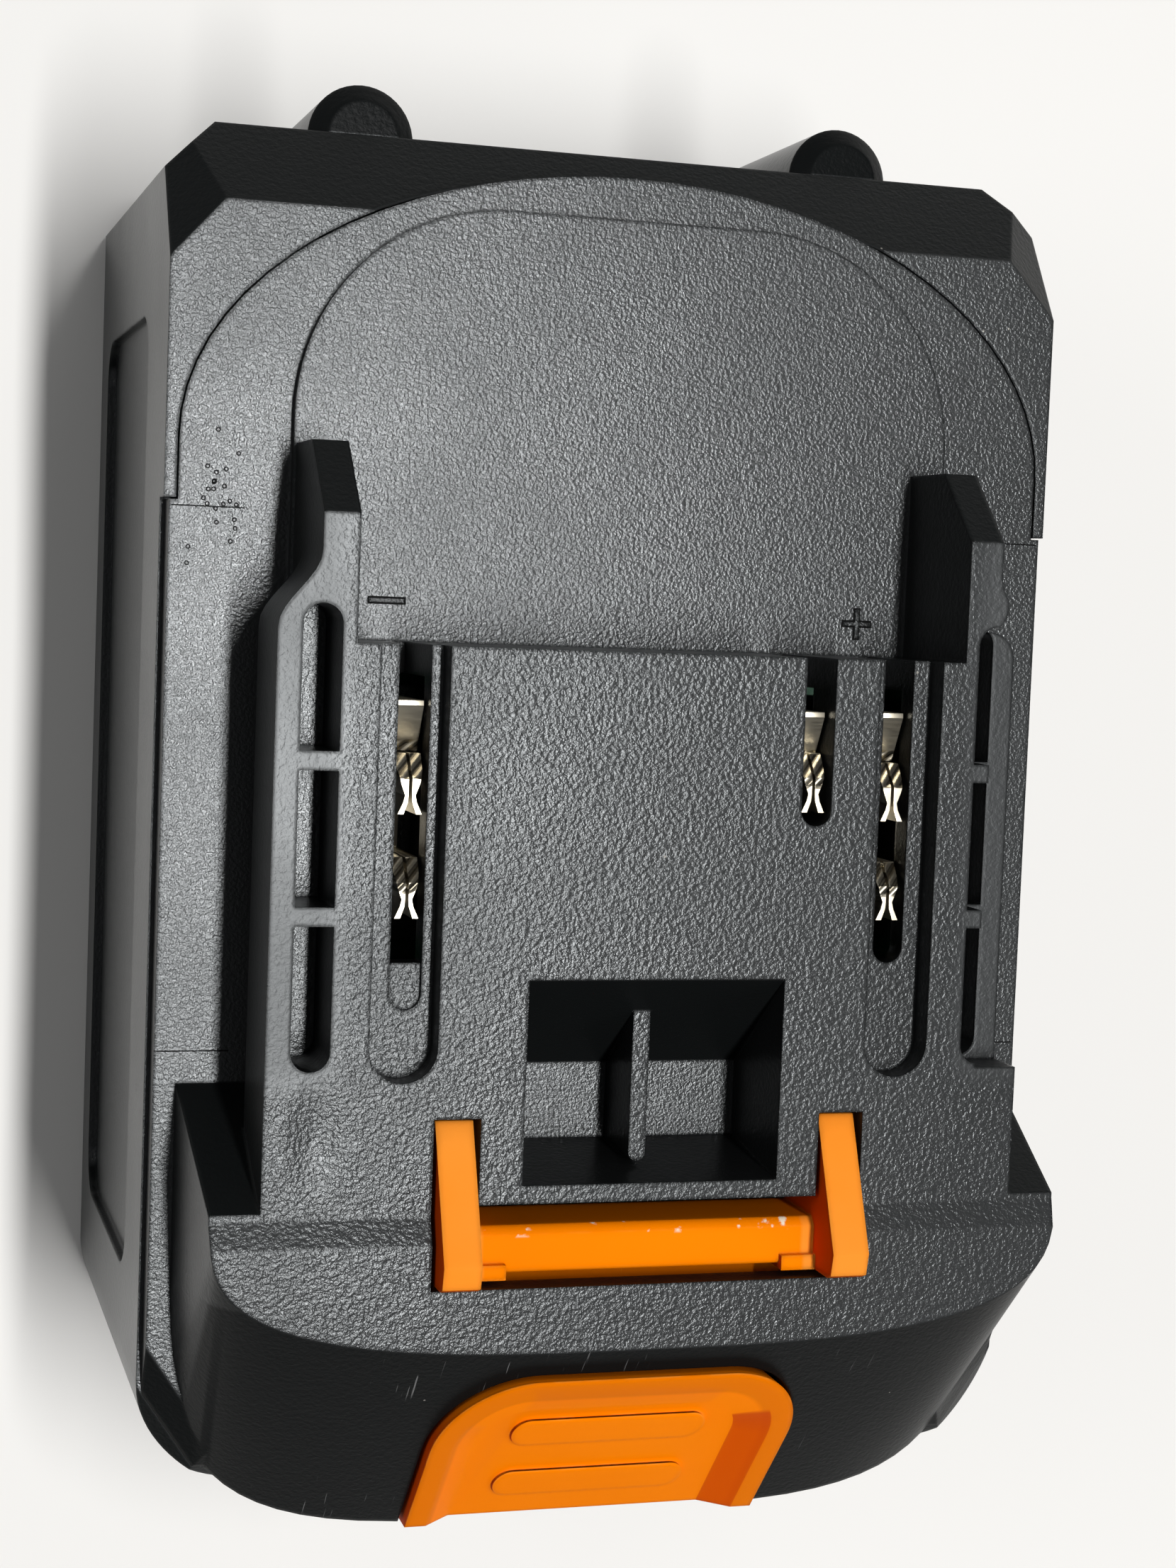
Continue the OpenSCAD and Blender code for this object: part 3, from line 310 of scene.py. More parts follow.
def shared(name: str, **inputs: float) -> Callable[[Layout], Giver]:
    """Turns a layout into a method that gives its node group, built at the first use.

    Args:
        name: the group's name.
        inputs: its inputs, with underscores for spaces, and their first values.

    Returns:
        The decorator.
    """

    def decorate(lay_out: Layout) -> Giver:
        """Wraps one layout."""

        @wraps(lay_out)
        def give(effects: Effects) -> bpy.types.NodeTree:
            """Gives the group."""
            if name not in effects.made:
                effects.made[name] = effects.new_group(name, inputs, lay_out)
            return effects.made[name]

        return give

    return decorate


@dataclass
class Effects:
    """Shader node groups that several finishes share, each built once."""

    made: dict[str, bpy.types.NodeTree] = field(default_factory=dict)

    def new_group(self, name: str, inputs: dict[str, float], lay_out: Layout) -> bpy.types.NodeTree:
        """Builds a group.

        Args:
            name: its name.
            inputs: its inputs, with underscores for spaces, and their first values.
            lay_out: makes its nodes, and gives what each of its outputs puts out.

        Returns:
            The group.
        """
        tree = bpy.data.node_groups.new(name, "ShaderNodeTree")
        for label, value in inputs.items():
            entry = tree.interface.new_socket(label.replace("_", " "), in_out="INPUT",
                                              socket_type="NodeSocketFloat")
            entry.default_value = value
        graph = Graph(tree)
        results = lay_out(self, graph, dict(graph.node("NodeGroupInput").outputs.items()))
        for label, source in results.items():
            kind = "NodeSocketVector" if source.type == "VECTOR" else "NodeSocketFloat"
            tree.interface.new_socket(label, in_out="OUTPUT", socket_type=kind)
        graph.fill(graph.node("NodeGroupOutput"), **results)
        return tree

    @shared("moulded_grain", Scale=4000.0, Contrast=0.25)
    def grain(self, graph: Graph, given: Sockets) -> Sockets:
        """Spark-eroded grain of a moulding: rounded bumps with a finer share on them.

        Args:
            graph: the group's graph.
            given: the group's inputs.

        Returns:
            The grain's height.
        """
        bumps = graph.noise(given["Scale"], Detail=2.0, Roughness=0.6, Distortion=0.15)
        low = graph.math("SUBTRACT", 0.5, given["Contrast"])
        high = graph.math("ADD", 0.5, given["Contrast"])
        return {"Height": graph.ramp(bumps, low, high)}

    @shared("facing_up", Low=LEVEL_FROM, High=LEVEL_FULL)
    def facing_up(self, graph: Graph, given: Sockets) -> Sockets:
        """Level faces, which the mould grains; slopes and walls are left smooth.

        Args:
            graph: the group's graph.
            given: the group's inputs.

        Returns:
            The mask of the level faces.
        """
        _, _, rise = graph.axes(graph.normal())
        return {"Mask": graph.ramp(rise, given["Low"], given["High"])}

    @shared("upright", Low=0.15, High=0.4)
    def upright(self, graph: Graph, given: Sockets) -> Sockets:
        """Upright walls, which keep a sheen.

        Args:
            graph: the group's graph.
            given: the group's inputs.

        Returns:
            The mask of the walls.
        """
        _, _, rise = graph.axes(graph.normal())
        return {"Mask": graph.ramp(graph.math("ABSOLUTE", rise), given["High"], given["Low"])}

    @shared("soft_edges", Radius=0.3 * MM)
    def soft_edges(self, graph: Graph, given: Sockets) -> Sockets:
        """Faces with rounded edges.

        Args:
            graph: the group's graph.
            given: the group's inputs.

        Returns:
            A mask of the level faces that ends short of their edges, and the rounded normal.
        """
        normal = graph.rounded(given["Radius"], samples=4)
        _, _, rise = graph.axes(normal)
        return {"Mask": graph.ramp(rise, LEVEL_FROM, LEVEL_FULL), "Normal": normal}

    @shared("turned_away", Low=0.1, High=0.7)
    def turned_away(self, graph: Graph, given: Sockets) -> Sockets:
        """Sides turned from the lamp, which a deep colour shades further.

        Args:
            graph: the group's graph.
            given: the group's inputs.

        Returns:
            The mask of those sides.
        """
        shade_side = (-0.75, -0.55, -0.35)
        lean = graph.dot(graph.normal(), shade_side)
        return {"Mask": graph.ramp(lean, given["Low"], given["High"])}

    @shared("zone", Inner_X=-1.0, Outer_X=1.0, Front_Y=-1.0, Rear_Y=1.0, Low_Z=-1.0, High_Z=1.0,
            Soft=0.3 * MM)
    def zone(self, graph: Graph, given: Sockets) -> Sockets:
        """A box-shaped part of a piece, the same on both sides of the pack.

        Args:
            graph: the group's graph.
            given: the group's inputs.

        Returns:
            The mask of the part.
        """
        x, y, z = graph.axes(graph.place())
        mask: Number = 1.0
        for value, low, high in ((graph.math("ABSOLUTE", x), "Inner X", "Outer X"),
                                 (y, "Front Y", "Rear Y"), (z, "Low Z", "High Z")):
            past_low = graph.math("SUBTRACT", value, given[low])
            short_of_high = graph.math("SUBTRACT", given[high], value)
            start, stop = (graph.math("DIVIDE", room, given["Soft"], clamp=True)
                           for room in (past_low, short_of_high))
            mask = graph.math("MULTIPLY", mask, graph.math("MULTIPLY", start, stop))
        return {"Mask": mask}

    @shared("scuffs", Scale=60.0, Amount=0.5)
    def scuffs(self, graph: Graph, given: Sockets) -> Sockets:
        """Sparse fine scratches along two directions, inside small rubbed patches.

        Args:
            graph: the group's graph.
            given: the group's inputs.

        Returns:
            The mask of the scratches.
        """
        streak_scale = 170.0
        runs = ((0.6, 22.0), (-0.9, 30.0))
        worn = graph.ramp(graph.noise(given["Scale"], Detail=1.0), low=0.58, high=0.7)
        lines: Number = 0.0
        for turn, stretch in runs:
            laid = graph.mapped(Rotation=(0.0, 0.0, turn), Scale=(stretch, 1.0, 1.0))
            streaks = graph.noise(streak_scale, laid, Detail=2.0)
            lines = graph.math("MAXIMUM", lines, graph.ramp(streaks, low=0.7, high=0.76))
        scratches = graph.math("MULTIPLY", lines, worn)
        return {"Mask": graph.math("MULTIPLY", scratches, given["Amount"])}

    @shared("dust_specks", Scale=300.0, Size=0.05, Share=0.1)
    def specks(self, graph: Graph, given: Sockets) -> Sockets:
        """Scattered dust specks.

        Args:
            graph: the group's graph.
            given: the group's inputs.

        Returns:
            The mask of the specks.
        """
        cells = graph.fill(graph.node("ShaderNodeTexVoronoi"), Vector=graph.place(),
                           Scale=given["Scale"])
        dot = graph.math("LESS_THAN", cells.outputs["Distance"], given["Size"])
        pick = graph.fill(graph.node("ShaderNodeSeparateColor"), Color=cells.outputs["Color"])
        chosen = graph.math("LESS_THAN", pick.outputs[0], given["Share"])
        return {"Mask": graph.math("MULTIPLY", dot, chosen)}

    @shared("edge_rub", Radius=0.5 * MM, Amount=1.0)
    def edge_rub(self, graph: Graph, given: Sockets) -> Sockets:
        """Edges, where handling rubs a moulding paler.

        Args:
            graph: the group's graph.
            given: the group's inputs.

        Returns:
            The mask of the edges.
        """
        mottle_scale = 420.0
        plain = graph.node("ShaderNodeNewGeometry").outputs["Normal"]
        bent = graph.dot(graph.rounded(given["Radius"], samples=6), plain)
        edge = graph.ramp(bent, low=0.995, high=0.85)
        patchy = graph.ramp(graph.noise(mottle_scale), low=0.35, high=0.65)
        rubbed = graph.math("MULTIPLY", edge, patchy)
        return {"Mask": graph.math("MULTIPLY", rubbed, given["Amount"])}

    @shared("flow_clouds", Scale=45.0)
    def flow(self, graph: Graph, given: Sockets) -> Sockets:
        """Slow cloudiness of a moulding's gloss and tone."""
        clouds = graph.noise(given["Scale"], Detail=4.0)
        return {"Cloud": graph.ramp(clouds, low=0.3, high=0.7)}


@dataclass(frozen=True)
class Zone:
    """A part of a piece, in metres: distances across count on both sides."""

    inner_x: float = -1.0
    outer_x: float = 1.0
    front_y: float = -1.0
    rear_y: float = 1.0
    low_z: float = -1.0
    high_z: float = 1.0
    soft: float = 0.3 * MM

    def mask(self, graph: Graph, effects: Effects) -> Socket:
        """Places the zone in a material.

        Args:
            graph: the material's graph.
            effects: the shared groups.

        Returns:
            The mask, 1 inside the zone.
        """
        made = graph.group(effects.zone(), Inner_X=self.inner_x, Outer_X=self.outer_x,
                           Front_Y=self.front_y, Rear_Y=self.rear_y, Low_Z=self.low_z,
                           High_Z=self.high_z, Soft=self.soft)
        return made["Mask"]


@dataclass(frozen=True)
class Dent:
    """A shallow round hollow in a face, in metres."""

    centre: Place
    radii: Place
    depth: float

    def mask(self, graph: Graph) -> Socket:
        """Places the hollow in a material.

        Args:
            graph: the material's graph.

        Returns:
            Its depth as a share, 1 in the middle.
        """
        laid = graph.mapped("TEXTURE", Location=self.centre, Scale=self.radii)
        bowl = graph.node("ShaderNodeTexGradient", gradient_type="SPHERICAL")
        return graph.ramp(graph.fill(bowl, Vector=laid).outputs["Fac"], 0.0, 1.0)


@dataclass(frozen=True)
class Incline:
    """What stands above a plane that rises along Y, as far as a rear end, in metres."""

    rise: float
    origin_z: float
    rear_y: float
    soft: float = 0.5 * MM

    def mask(self, graph: Graph) -> Socket:
        """Places the incline in a material.

        Args:
            graph: the material's graph.

        Returns:
            The mask, 1 above the plane.
        """
        _, y, z = graph.axes(graph.place())
        plane = graph.math("MULTIPLY_ADD", y, self.rise, self.origin_z)
        above = graph.ramp(graph.math("SUBTRACT", z, plane), 0.0, self.soft)
        return graph.math("MULTIPLY", above, graph.math("LESS_THAN", y, self.rear_y))


def new_material(name: str) -> tuple[bpy.types.Material, Graph, bpy.types.Node]:
    """Starts a material with a Principled shader.

    Args:
        name: the material's name.

    Returns:
        The material, its graph and the shader node.
    """
    material = bpy.data.materials.new(name)
    material.use_nodes = True
    graph = Graph(material.node_tree)
    shader = graph.node("ShaderNodeBsdfPrincipled")
    graph.fill(graph.node("ShaderNodeOutputMaterial"), Surface=shader.outputs[0])
    return material, graph, shader


def dress(piece: bpy.types.Object, material: bpy.types.Material) -> None:
    """Gives a piece one material, and reports it.

    Args:
        piece: the piece.
        material: its finish.
    """
    piece.data.materials.clear()
    piece.data.materials.append(material)
    LOG.info("%s: %d faces, %s", piece.name, len(piece.data.polygons), material.name)


@dataclass(frozen=True)
class Tone:
    """Colour of one kind of face, and how much of it mirrors the light."""

    colour: Paint
    lustre: Number

    def under(self, graph: Graph, mask: Number, above: Tone) -> Tone:
        """Lays another tone over this one.

        Args:
            graph: the material's graph.
            mask: where the other tone shows.
            above: the other tone.

        Returns:
            The mixed tone.
        """
        return Tone(graph.blend(mask, self.colour, above.colour),
                    graph.lerp(mask, self.lustre, above.lustre))


@dataclass(frozen=True)
class Faces:
    """Masks that tell the faces of a grained moulding apart."""

    level: Socket
    open_face: Socket
    coarse: Socket
    satin: Socket | None
    cloud: Socket


@dataclass(frozen=True)
class GrainedFinish:
    """Charcoal moulding: grained on its level faces, smooth on slopes and walls."""

    name: str
    fine: Tone = Tone((0.0690, 0.0715, 0.0722), 0.59)
    coarse: Tone = Tone((0.0588, 0.0610, 0.0617), 0.53)
    smooth: Tone = Tone((0.0107, 0.0121, 0.0123), 0.436)
    dull: Tone = Tone((0.006, 0.0068, 0.0069), 0.0)
    wall: Tone = Tone((0.039, 0.0414, 0.042), 0.667)
    rub: Tone = Tone((0.16, 0.16, 0.16), 0.0)
    dust: Tone = Tone((0.45, 0.43, 0.39), 0.0)
    specular: float = 0.03
    edge_radius: float = 0.42 * MM
    grain_roughness: float = 0.22
    smooth_roughness: float = 0.28
    satin_roughness: float = 0.33
    cloud_roughness: float = 0.05
    cloud_share: float = 0.1
    fine_scale: float = 3600.0
    coarse_scale: float = 2700.0
    satin_scale: float = 2300.0
    fine_height: float = 0.023 * MM
    coarse_height: float = 0.029 * MM
    satin_height: float = 0.013 * MM
    dust_scale: float = 420.0
    dust_size: float = 0.045
    dust_share: float = 0.06
    dust_cover: float = 0.5
    scuff_amount: float = 0.9
    coarse_zone: Zone = Zone(low_z=60.0 * MM)
    satin_zone: Zone | None = None
    smooth_zone: Zone | None = None
    scuff_zone: Zone | None = None
    dull_zone: Zone | None = None
    dent: Dent | None = None

    def build(self, effects: Effects) -> bpy.types.Material:
        """Makes the material.

        Args:
            effects: the shared groups.

        Returns:
            The material.
        """
        material, graph, shader = new_material(self.name)
        edges = graph.group(effects.soft_edges(), Radius=self.edge_radius)
        level, open_face = graph.group(effects.facing_up())["Mask"], edges["Mask"]
        if self.smooth_zone:
            bare = graph.math("SUBTRACT", 1.0, self.smooth_zone.mask(graph, effects))
            level, open_face = (graph.math("MULTIPLY", mask, bare) for mask in (level, open_face))
        faces = Faces(level, open_face, coarse=self.coarse_zone.mask(graph, effects),
                      satin=self.satin_zone.mask(graph, effects) if self.satin_zone else None,
                      cloud=graph.group(effects.flow())["Cloud"])
        relief = self._relief(graph, effects, faces)
        tone = self._tone(graph, effects, faces)
        graph.fill(shader, Base_Color=tone.colour, Metallic=tone.lustre,
                   Roughness=self._roughness(graph, faces), Specular_IOR_Level=self.specular,
                   Normal=graph.bump(relief, self.coarse_height, edges["Normal"]))
        return material

    def _relief(self, graph: Graph, effects: Effects, faces: Faces) -> Socket:
        """Lays the grain on the faces.

        Args:
            graph: the material's graph.
            effects: the shared groups.
            faces: where each kind of face is.

        Returns:
            Height of the grain, as a share of the coarse grain's.
        """
        fine, coarse, satin = (
            graph.math("MULTIPLY", graph.group(effects.grain(), Scale=scale)["Height"],
                       height / self.coarse_height)
            for scale, height in ((self.fine_scale, self.fine_height),
                                  (self.coarse_scale, self.coarse_height),
                                  (self.satin_scale, self.satin_height)))
        grained = graph.lerp(faces.coarse, fine, coarse)
        if faces.satin is not None:
            grained = graph.lerp(faces.satin, grained, satin)
        relief = graph.lerp(faces.level, satin, grained)
        if self.dent:
            share = self.dent.depth / self.coarse_height
            relief = graph.math("MULTIPLY_ADD", self.dent.mask(graph), -share, relief)
        return relief

    def _tone(self, graph: Graph, effects: Effects, faces: Faces) -> Tone:
        """Colours the faces, with clouds, dust and scuffs.

        Args:
            graph: the material's graph.
            effects: the shared groups.
            faces: where each kind of face is.

        Returns:
            The mixed tone.
        """
        tone = self.smooth
        if self.dull_zone:
            tone = tone.under(graph, self.dull_zone.mask(graph, effects), self.dull)
        tone = tone.under(graph, graph.group(effects.upright())["Mask"], self.wall)
        top = self.fine.under(graph, faces.coarse, self.coarse)
        if faces.satin is not None:
            top = top.under(graph, faces.satin, self.fine)
        tone = tone.under(graph, faces.open_face, top)
        tone = tone.under(graph, graph.math("MULTIPLY", faces.cloud, self.cloud_share), self.dull)
        specks = graph.group(effects.specks(), Scale=self.dust_scale, Size=self.dust_size,
                             Share=self.dust_share)["Mask"]
        tone = tone.under(graph, graph.math("MULTIPLY", specks, self.dust_cover), self.dust)
        if self.scuff_zone:
            scratch = graph.group(effects.scuffs(), Amount=self.scuff_amount)["Mask"]
            scratch = graph.math("MULTIPLY", scratch, self.scuff_zone.mask(graph, effects))
            tone = tone.under(graph, scratch, self.rub)
        return tone

    def _roughness(self, graph: Graph, faces: Faces) -> Socket:
        """Sets the gloss of the faces.

        Args:
            graph: the material's graph.
            faces: where each kind of face is.

        Returns:
            The roughness.
        """
        grained: Number = self.grain_roughness
        if faces.satin is not None:
            grained = graph.lerp(faces.satin, grained, self.satin_roughness)
        rough = graph.lerp(faces.open_face, self.smooth_roughness, grained)
        return graph.math("ADD", rough, graph.math("MULTIPLY", faces.cloud, self.cloud_roughness))


@dataclass(frozen=True)
class GlossyFinish:
    """Smooth coloured moulding with faint flow clouds, fine scratches and rubbed edges."""

    name: str
    colour: Colour
    deep_colour: Colour
    rub_colour: Colour
    roughness: float = 0.36
    specular: float = 0.5
    edge_radius: float = 0.5 * MM
    grain_scale: float = 1700.0
    grain_height: float = 0.006 * MM
    cloud_scale: float = 70.0
    cloud_share: float = 0.5
    cloud_roughness: float = 0.08
    rub_radius: float = 0.4 * MM
    rub_amount: float = 0.3
    scuff_scale: float = 110.0
    scuff_amount: float = 0.35
    scuff_roughness: float = 0.2
    shade_colour: Colour | None = None
    chafe_colour: Colour = (0.95, 0.80, 0.62)
    chafe_scale: float = 480.0
    chafe_edge: Point = (0.60, 0.66)
    chafe_zone: Zone | None = None
    # Paler orange on the hooks: partly wear, partly a painted sheen of the lamp.
    wear_and_sheen_colour: Colour = (0.90, 0.287, 0.03)
    wear_and_sheen_least: float = 0.6
    wear_and_sheen_zone: Zone | None = None
    # Painted shade: a darker orange on the button's rim, as where its rounded edge turns from the
    # lamp.
    rim_painted_shade: Colour = (0.78, 0.175, 0.0)
    rim: Incline | None = None

    def build(self, effects: Effects) -> bpy.types.Material:
        """Makes the material.

        Args:
            effects: the shared groups.

        Returns:
            The material.
        """
        material, graph, shader = new_material(self.name)
        cloud = graph.group(effects.flow(), Scale=self.cloud_scale)["Cloud"]
        scratch = graph.group(effects.scuffs(), Scale=self.scuff_scale,
                              Amount=self.scuff_amount)["Mask"]
        grain = graph.group(effects.grain(), Scale=self.grain_scale)["Height"]
        edges = graph.group(effects.soft_edges(), Radius=self.edge_radius)
        rough = graph.math("MULTIPLY_ADD", cloud, self.cloud_roughness, self.roughness)
        rough = graph.math("MULTIPLY_ADD", scratch, self.scuff_roughness, rough)
        graph.fill(shader, Base_Color=self._colour(graph, effects, cloud, scratch),
                   Roughness=rough, Specular_IOR_Level=self.specular,
                   Normal=graph.bump(grain, self.grain_height, edges["Normal"]))
        return material

    def _colour(self, graph: Graph, effects: Effects, cloud: Socket, scratch: Socket) -> Socket:
        """Lays the painted shade, the painted sheen and the wear over the moulding's colour.

        Args:
            graph: the material's graph.
            effects: the shared groups.
            cloud: the flow clouds.
            scratch: the mask of the scratches.

        Returns:
            The mixed colour.
        """
        share = graph.math("MULTIPLY", cloud, self.cloud_share)
        tone = graph.blend(share, self.colour, self.deep_colour)
        # Wear and painted sheen: the hooks are laid paler, partly as rubbed plastic and partly as
        # if catching the lamp.
        if self.wear_and_sheen_zone:
            worn = graph.math("MULTIPLY", self.wear_and_sheen_zone.mask(graph, effects),
                              graph.lerp(cloud, 1.0, self.wear_and_sheen_least))
            tone = graph.blend(worn, tone, self.wear_and_sheen_colour)
        # Painted shade: the rim round the button is laid darker.
        if self.rim:
            tone = graph.blend(self.rim.mask(graph), tone, self.rim_painted_shade)
        if self.shade_colour:
            tone = graph.blend(graph.group(effects.turned_away())["Mask"], tone, self.shade_colour)
        rub = graph.group(effects.edge_rub(), Radius=self.rub_radius, Amount=self.rub_amount)
        for mask in (rub["Mask"], scratch):
            tone = graph.blend(mask, tone, self.rub_colour)
        if self.chafe_zone:
            chips = graph.ramp(graph.noise(self.chafe_scale, Detail=4.0), *self.chafe_edge)
            chafed = graph.math("MULTIPLY", chips, self.chafe_zone.mask(graph, effects))
            tone = graph.blend(chafed, tone, self.chafe_colour)
        return tone


@dataclass(frozen=True)
class MetalFinish:
    """Rolled or drawn metal with streaks along one direction, and folds where its leaves twist,
    darkened with painted shade.
    """

    name: str
    colour: Colour
    tarnish: Colour
    roughness: float = 0.22
    streak: Place = (1.0, 1.0, 14.0)
    streak_scale: float = 600.0
    streak_height: float = 0.01 * MM
    streak_roughness: float = 0.18
    cloud_scale: float = 260.0
    cloud_share: float = 0.6
    twists: tuple[Zone, ...] = ()
    twist_slant: Place = (1.0, -1.0, 0.0)
    twist_scale: float = 560.0
    twist_height: float = 0.16 * MM
    twist_shade: Colour = (0.10, 0.085, 0.06)
    twist_dark: float = 0.85

    def build(self, effects: Effects) -> bpy.types.Material:
        """Makes the material.

        Args:
            effects: the shared groups.

        Returns:
            The material.
        """
        material, graph, shader = new_material(self.name)
        streaks = graph.noise(self.streak_scale, graph.mapped(Scale=self.streak), Detail=3.0)
        least_rough = self.roughness - self.streak_roughness / 2
        cloud = graph.group(effects.flow(), Scale=self.cloud_scale)["Cloud"]
        share = graph.math("MULTIPLY", cloud, self.cloud_share)
        tone = graph.blend(share, self.colour, self.tarnish)
        normal = graph.bump(streaks, self.streak_height)
        if self.twists:
            folds = self._folds(graph, effects)
            # Painted shade: the folds of the twisted leaves are laid darker, as where they turn
            # from the light.
            dark = graph.ramp(folds, low=0.45, high=0.2, top=self.twist_dark)
            tone = graph.blend(dark, tone, self.twist_shade)
            normal = graph.bump(folds, self.twist_height, normal)
        rough = graph.math("MULTIPLY_ADD", streaks, self.streak_roughness, least_rough)
        graph.fill(shader, Base_Color=tone, Metallic=1.0, Roughness=rough, Normal=normal)
        return material

    def _folds(self, graph: Graph, effects: Effects) -> Socket:
        """Places the slanting folds of the twisted leaves.

        Args:
            graph: the material's graph.
            effects: the shared groups.

        Returns:
            Height of the folds, 1 outside the twisted lengths.
        """
        waves = graph.node("ShaderNodeTexWave", wave_type="BANDS", bands_direction="DIAGONAL")
        graph.fill(waves, Vector=graph.mapped(Scale=self.twist_slant), Scale=self.twist_scale)
        twisted: Number = 0.0
        for zone in self.twists:
            twisted = graph.math("MAXIMUM", twisted, zone.mask(graph, effects))
        return graph.lerp(twisted, 1.0, waves.outputs["Fac"])


@dataclass(frozen=True)
class EdgeSoftener:
    """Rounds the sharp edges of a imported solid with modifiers, leaving its mesh as it is."""

    width: float = 0.3 * MM
    segments: int = 2
    angle: float = math.radians(28.0)
    merge: float = 0.002 * MM
    flat: float = math.radians(0.4)
    weight: int = 60

    def apply(self, piece: bpy.types.Object) -> None:
        """Adds the modifiers: join split points, drop flat edges, bevel, even out the shading.

        Args:
            piece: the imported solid.
        """
        weld = piece.modifiers.new("join_points", "WELD")
        weld.merge_threshold = self.merge
        flatten = piece.modifiers.new("drop_flat_edges", "DECIMATE")
        flatten.decimate_type = "DISSOLVE"
        flatten.angle_limit = self.flat
        bevel = piece.modifiers.new("soft_edges", "BEVEL")
        bevel.width = self.width
        bevel.segments = self.segments
        bevel.limit_method = "ANGLE"
        bevel.angle_limit = self.angle
        bevel.use_clamp_overlap = True
        bevel.miter_outer = "MITER_ARC"
        even = piece.modifiers.new("even_shading", "WEIGHTED_NORMAL")
        even.keep_sharp = False
        even.weight = self.weight


class MeshMaker:
    """Collects simple closed forms into one mesh piece."""

    def __init__(self, name: str) -> None:
        """Starts an empty piece.

        Args:
            name: the piece's name.
        """
        self.name = name
        self.mesh = bmesh.new()

    def _loop(self, outline: list[Point], height: float) -> list[bmesh.types.BMVert]:
        """Adds the points of an outline at one height."""
        return [self.mesh.verts.new((x, y, height)) for x, y in outline]

    def _band(self, first: list[bmesh.types.BMVert], second: list[bmesh.types.BMVert]) -> None:
        """Joins two loops with the same number of points by a band of faces.

        Args:
            first: one loop.
            second: the other loop.
        """
        for i in range(len(first)):
            j = (i + 1) % len(first)
            self.mesh.faces.new((first[i], first[j], second[j], second[i]))

    def prism(self, outline: list[Point], low: float, high: float, taper: float = 0.0) -> None:
        """Adds an upright prism whose top is drawn in towards its middle.

        Args:
            outline: corners seen from above, anticlockwise.
            low: height of its base.
            high: height of its top.
            taper: how far the top's corners are drawn in, as a share.
        """
        middle = Vector((sum(x for x, _ in outline), sum(y for _, y in outline))) / len(outline)
        base = self._loop(outline, low)
        top = self._loop([Vector(corner).lerp(middle, taper) for corner in outline], high)
        self.mesh.faces.new(list(reversed(base)))
        self.mesh.faces.new(top)
        self._band(base, top)

    def ring(self, inner: list[Point], outer: list[Point], low: float, high: float) -> None:
        """Adds a low band between two outlines with the same number of corners.

        Args:
            inner: the band's inner edge.
            outer: the band's outer edge.
            low: height of its base.
            high: height of its top.
        """
        loops = [self._loop(outline, height) for outline, height in
                 ((inner, low), (inner, high), (outer, high), (outer, low))]
        for first, second in zip(loops, loops[1:] + loops[:1]):
            self._band(first, second)

    def finish(self, material: bpy.types.Material) -> None:
        """Turns the forms into a piece that belongs to the case.

        Args:
            material: its finish.
        """
        bmesh.ops.recalc_face_normals(self.mesh, faces=self.mesh.faces)
        data = bpy.data.meshes.new(self.name)
        self.mesh.to_mesh(data)
        self.mesh.free()
        piece = bpy.data.objects.new(self.name, data)
        bpy.context.scene.collection.objects.link(piece)
        dress(piece, material)
        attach(piece, "pack")


@dataclass(frozen=True)
class Places:
    """Reference places on the pack, read off the frame, in metres."""

    terminal_y: float
    landing_z: float
    rail_top: float
    shoulder_z: float
    deck_z: float

    @classmethod
    def from_frame(cls, record: dict) -> Places:
        """Reads the places.

        Args:
            record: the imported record.

        Returns:
            The places.
        """
        boxes = {row["name"]: row["box_m"] for row in record["physics"]["openings"]}
        low, high = boxes["terminal_landing"]
        groove_low = boxes["rail_groove_left"][0]
        clear = 0.1 * MM
        return cls(terminal_y=low[1] - clear, landing_z=low[2] - clear, rail_top=high[2],
                   shoulder_z=groove_low[2] - clear, deck_z=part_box("upper_case")[1].z)

    def ahead(self, distance: float) -> float:
        """Place along Y, a distance in millimetres forward of the terminal edge."""
        return self.terminal_y - distance * MM


@dataclass
class CaseShells:
    """The two halves of the case; plain distances are millimetres ahead of the terminal edge."""

    places: Places
    effects: Effects
    softener: EdgeSoftener = EdgeSoftener(width=0.35 * MM, angle=math.radians(17.0))
    upper_wall: Tone = Tone((0.0202, 0.0215, 0.0219), 0.553)
    rail_inner_x: float = 24.3 * MM
    rail_low: float = 60.0 * MM
    rail_fade: float = 2.5 * MM
    rail_front: float = 34.5
    nose_start: float = 50.0
    rear_wall: float = -40.9
    sink_x: float = -26.6 * MM
    sink_ahead: float = 37.4
    sink_radii: Place = (2.7 * MM, 5.4 * MM, 2.7 * MM)
    sink_depth: float = 0.14 * MM

    def dress_all(self, nodes: Nodes) -> None:
        """Softens and finishes both halves.

        Args:
            nodes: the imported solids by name.
        """
        for name, finish in (("upper_case", self._upper()), ("lower_case", self._lower())):
            dress(nodes[name], finish.build(self.effects))
            self.softener.apply(nodes[name])

    def _upper(self) -> GrainedFinish:
        """Finish of the upper half: satin rails, a dull nose, and a sink mark by the left hook.

        Returns:
            The finish.
        """
        rails = Zone(inner_x=self.rail_inner_x, front_y=self.places.ahead(self.rail_front),
                     low_z=self.rail_low, soft=self.rail_fade)
        nose = Zone(rear_y=self.places.ahead(self.nose_start))
        centre = (self.sink_x, self.places.ahead(self.sink_ahead), self.places.rail_top)
        return GrainedFinish("upper_case_plastic", satin_zone=rails, scuff_zone=nose,
                             dull_zone=nose, wall=self.upper_wall,
                             dent=Dent(centre, self.sink_radii, self.sink_depth))

    def _lower(self) -> GrainedFinish:
        """Finish of the lower half, with smooth bumps on its rear wall."""
        bumps = Zone(front_y=self.places.ahead(self.rear_wall))
        return GrainedFinish("lower_case_plastic", smooth_zone=bumps, dull_zone=bumps)


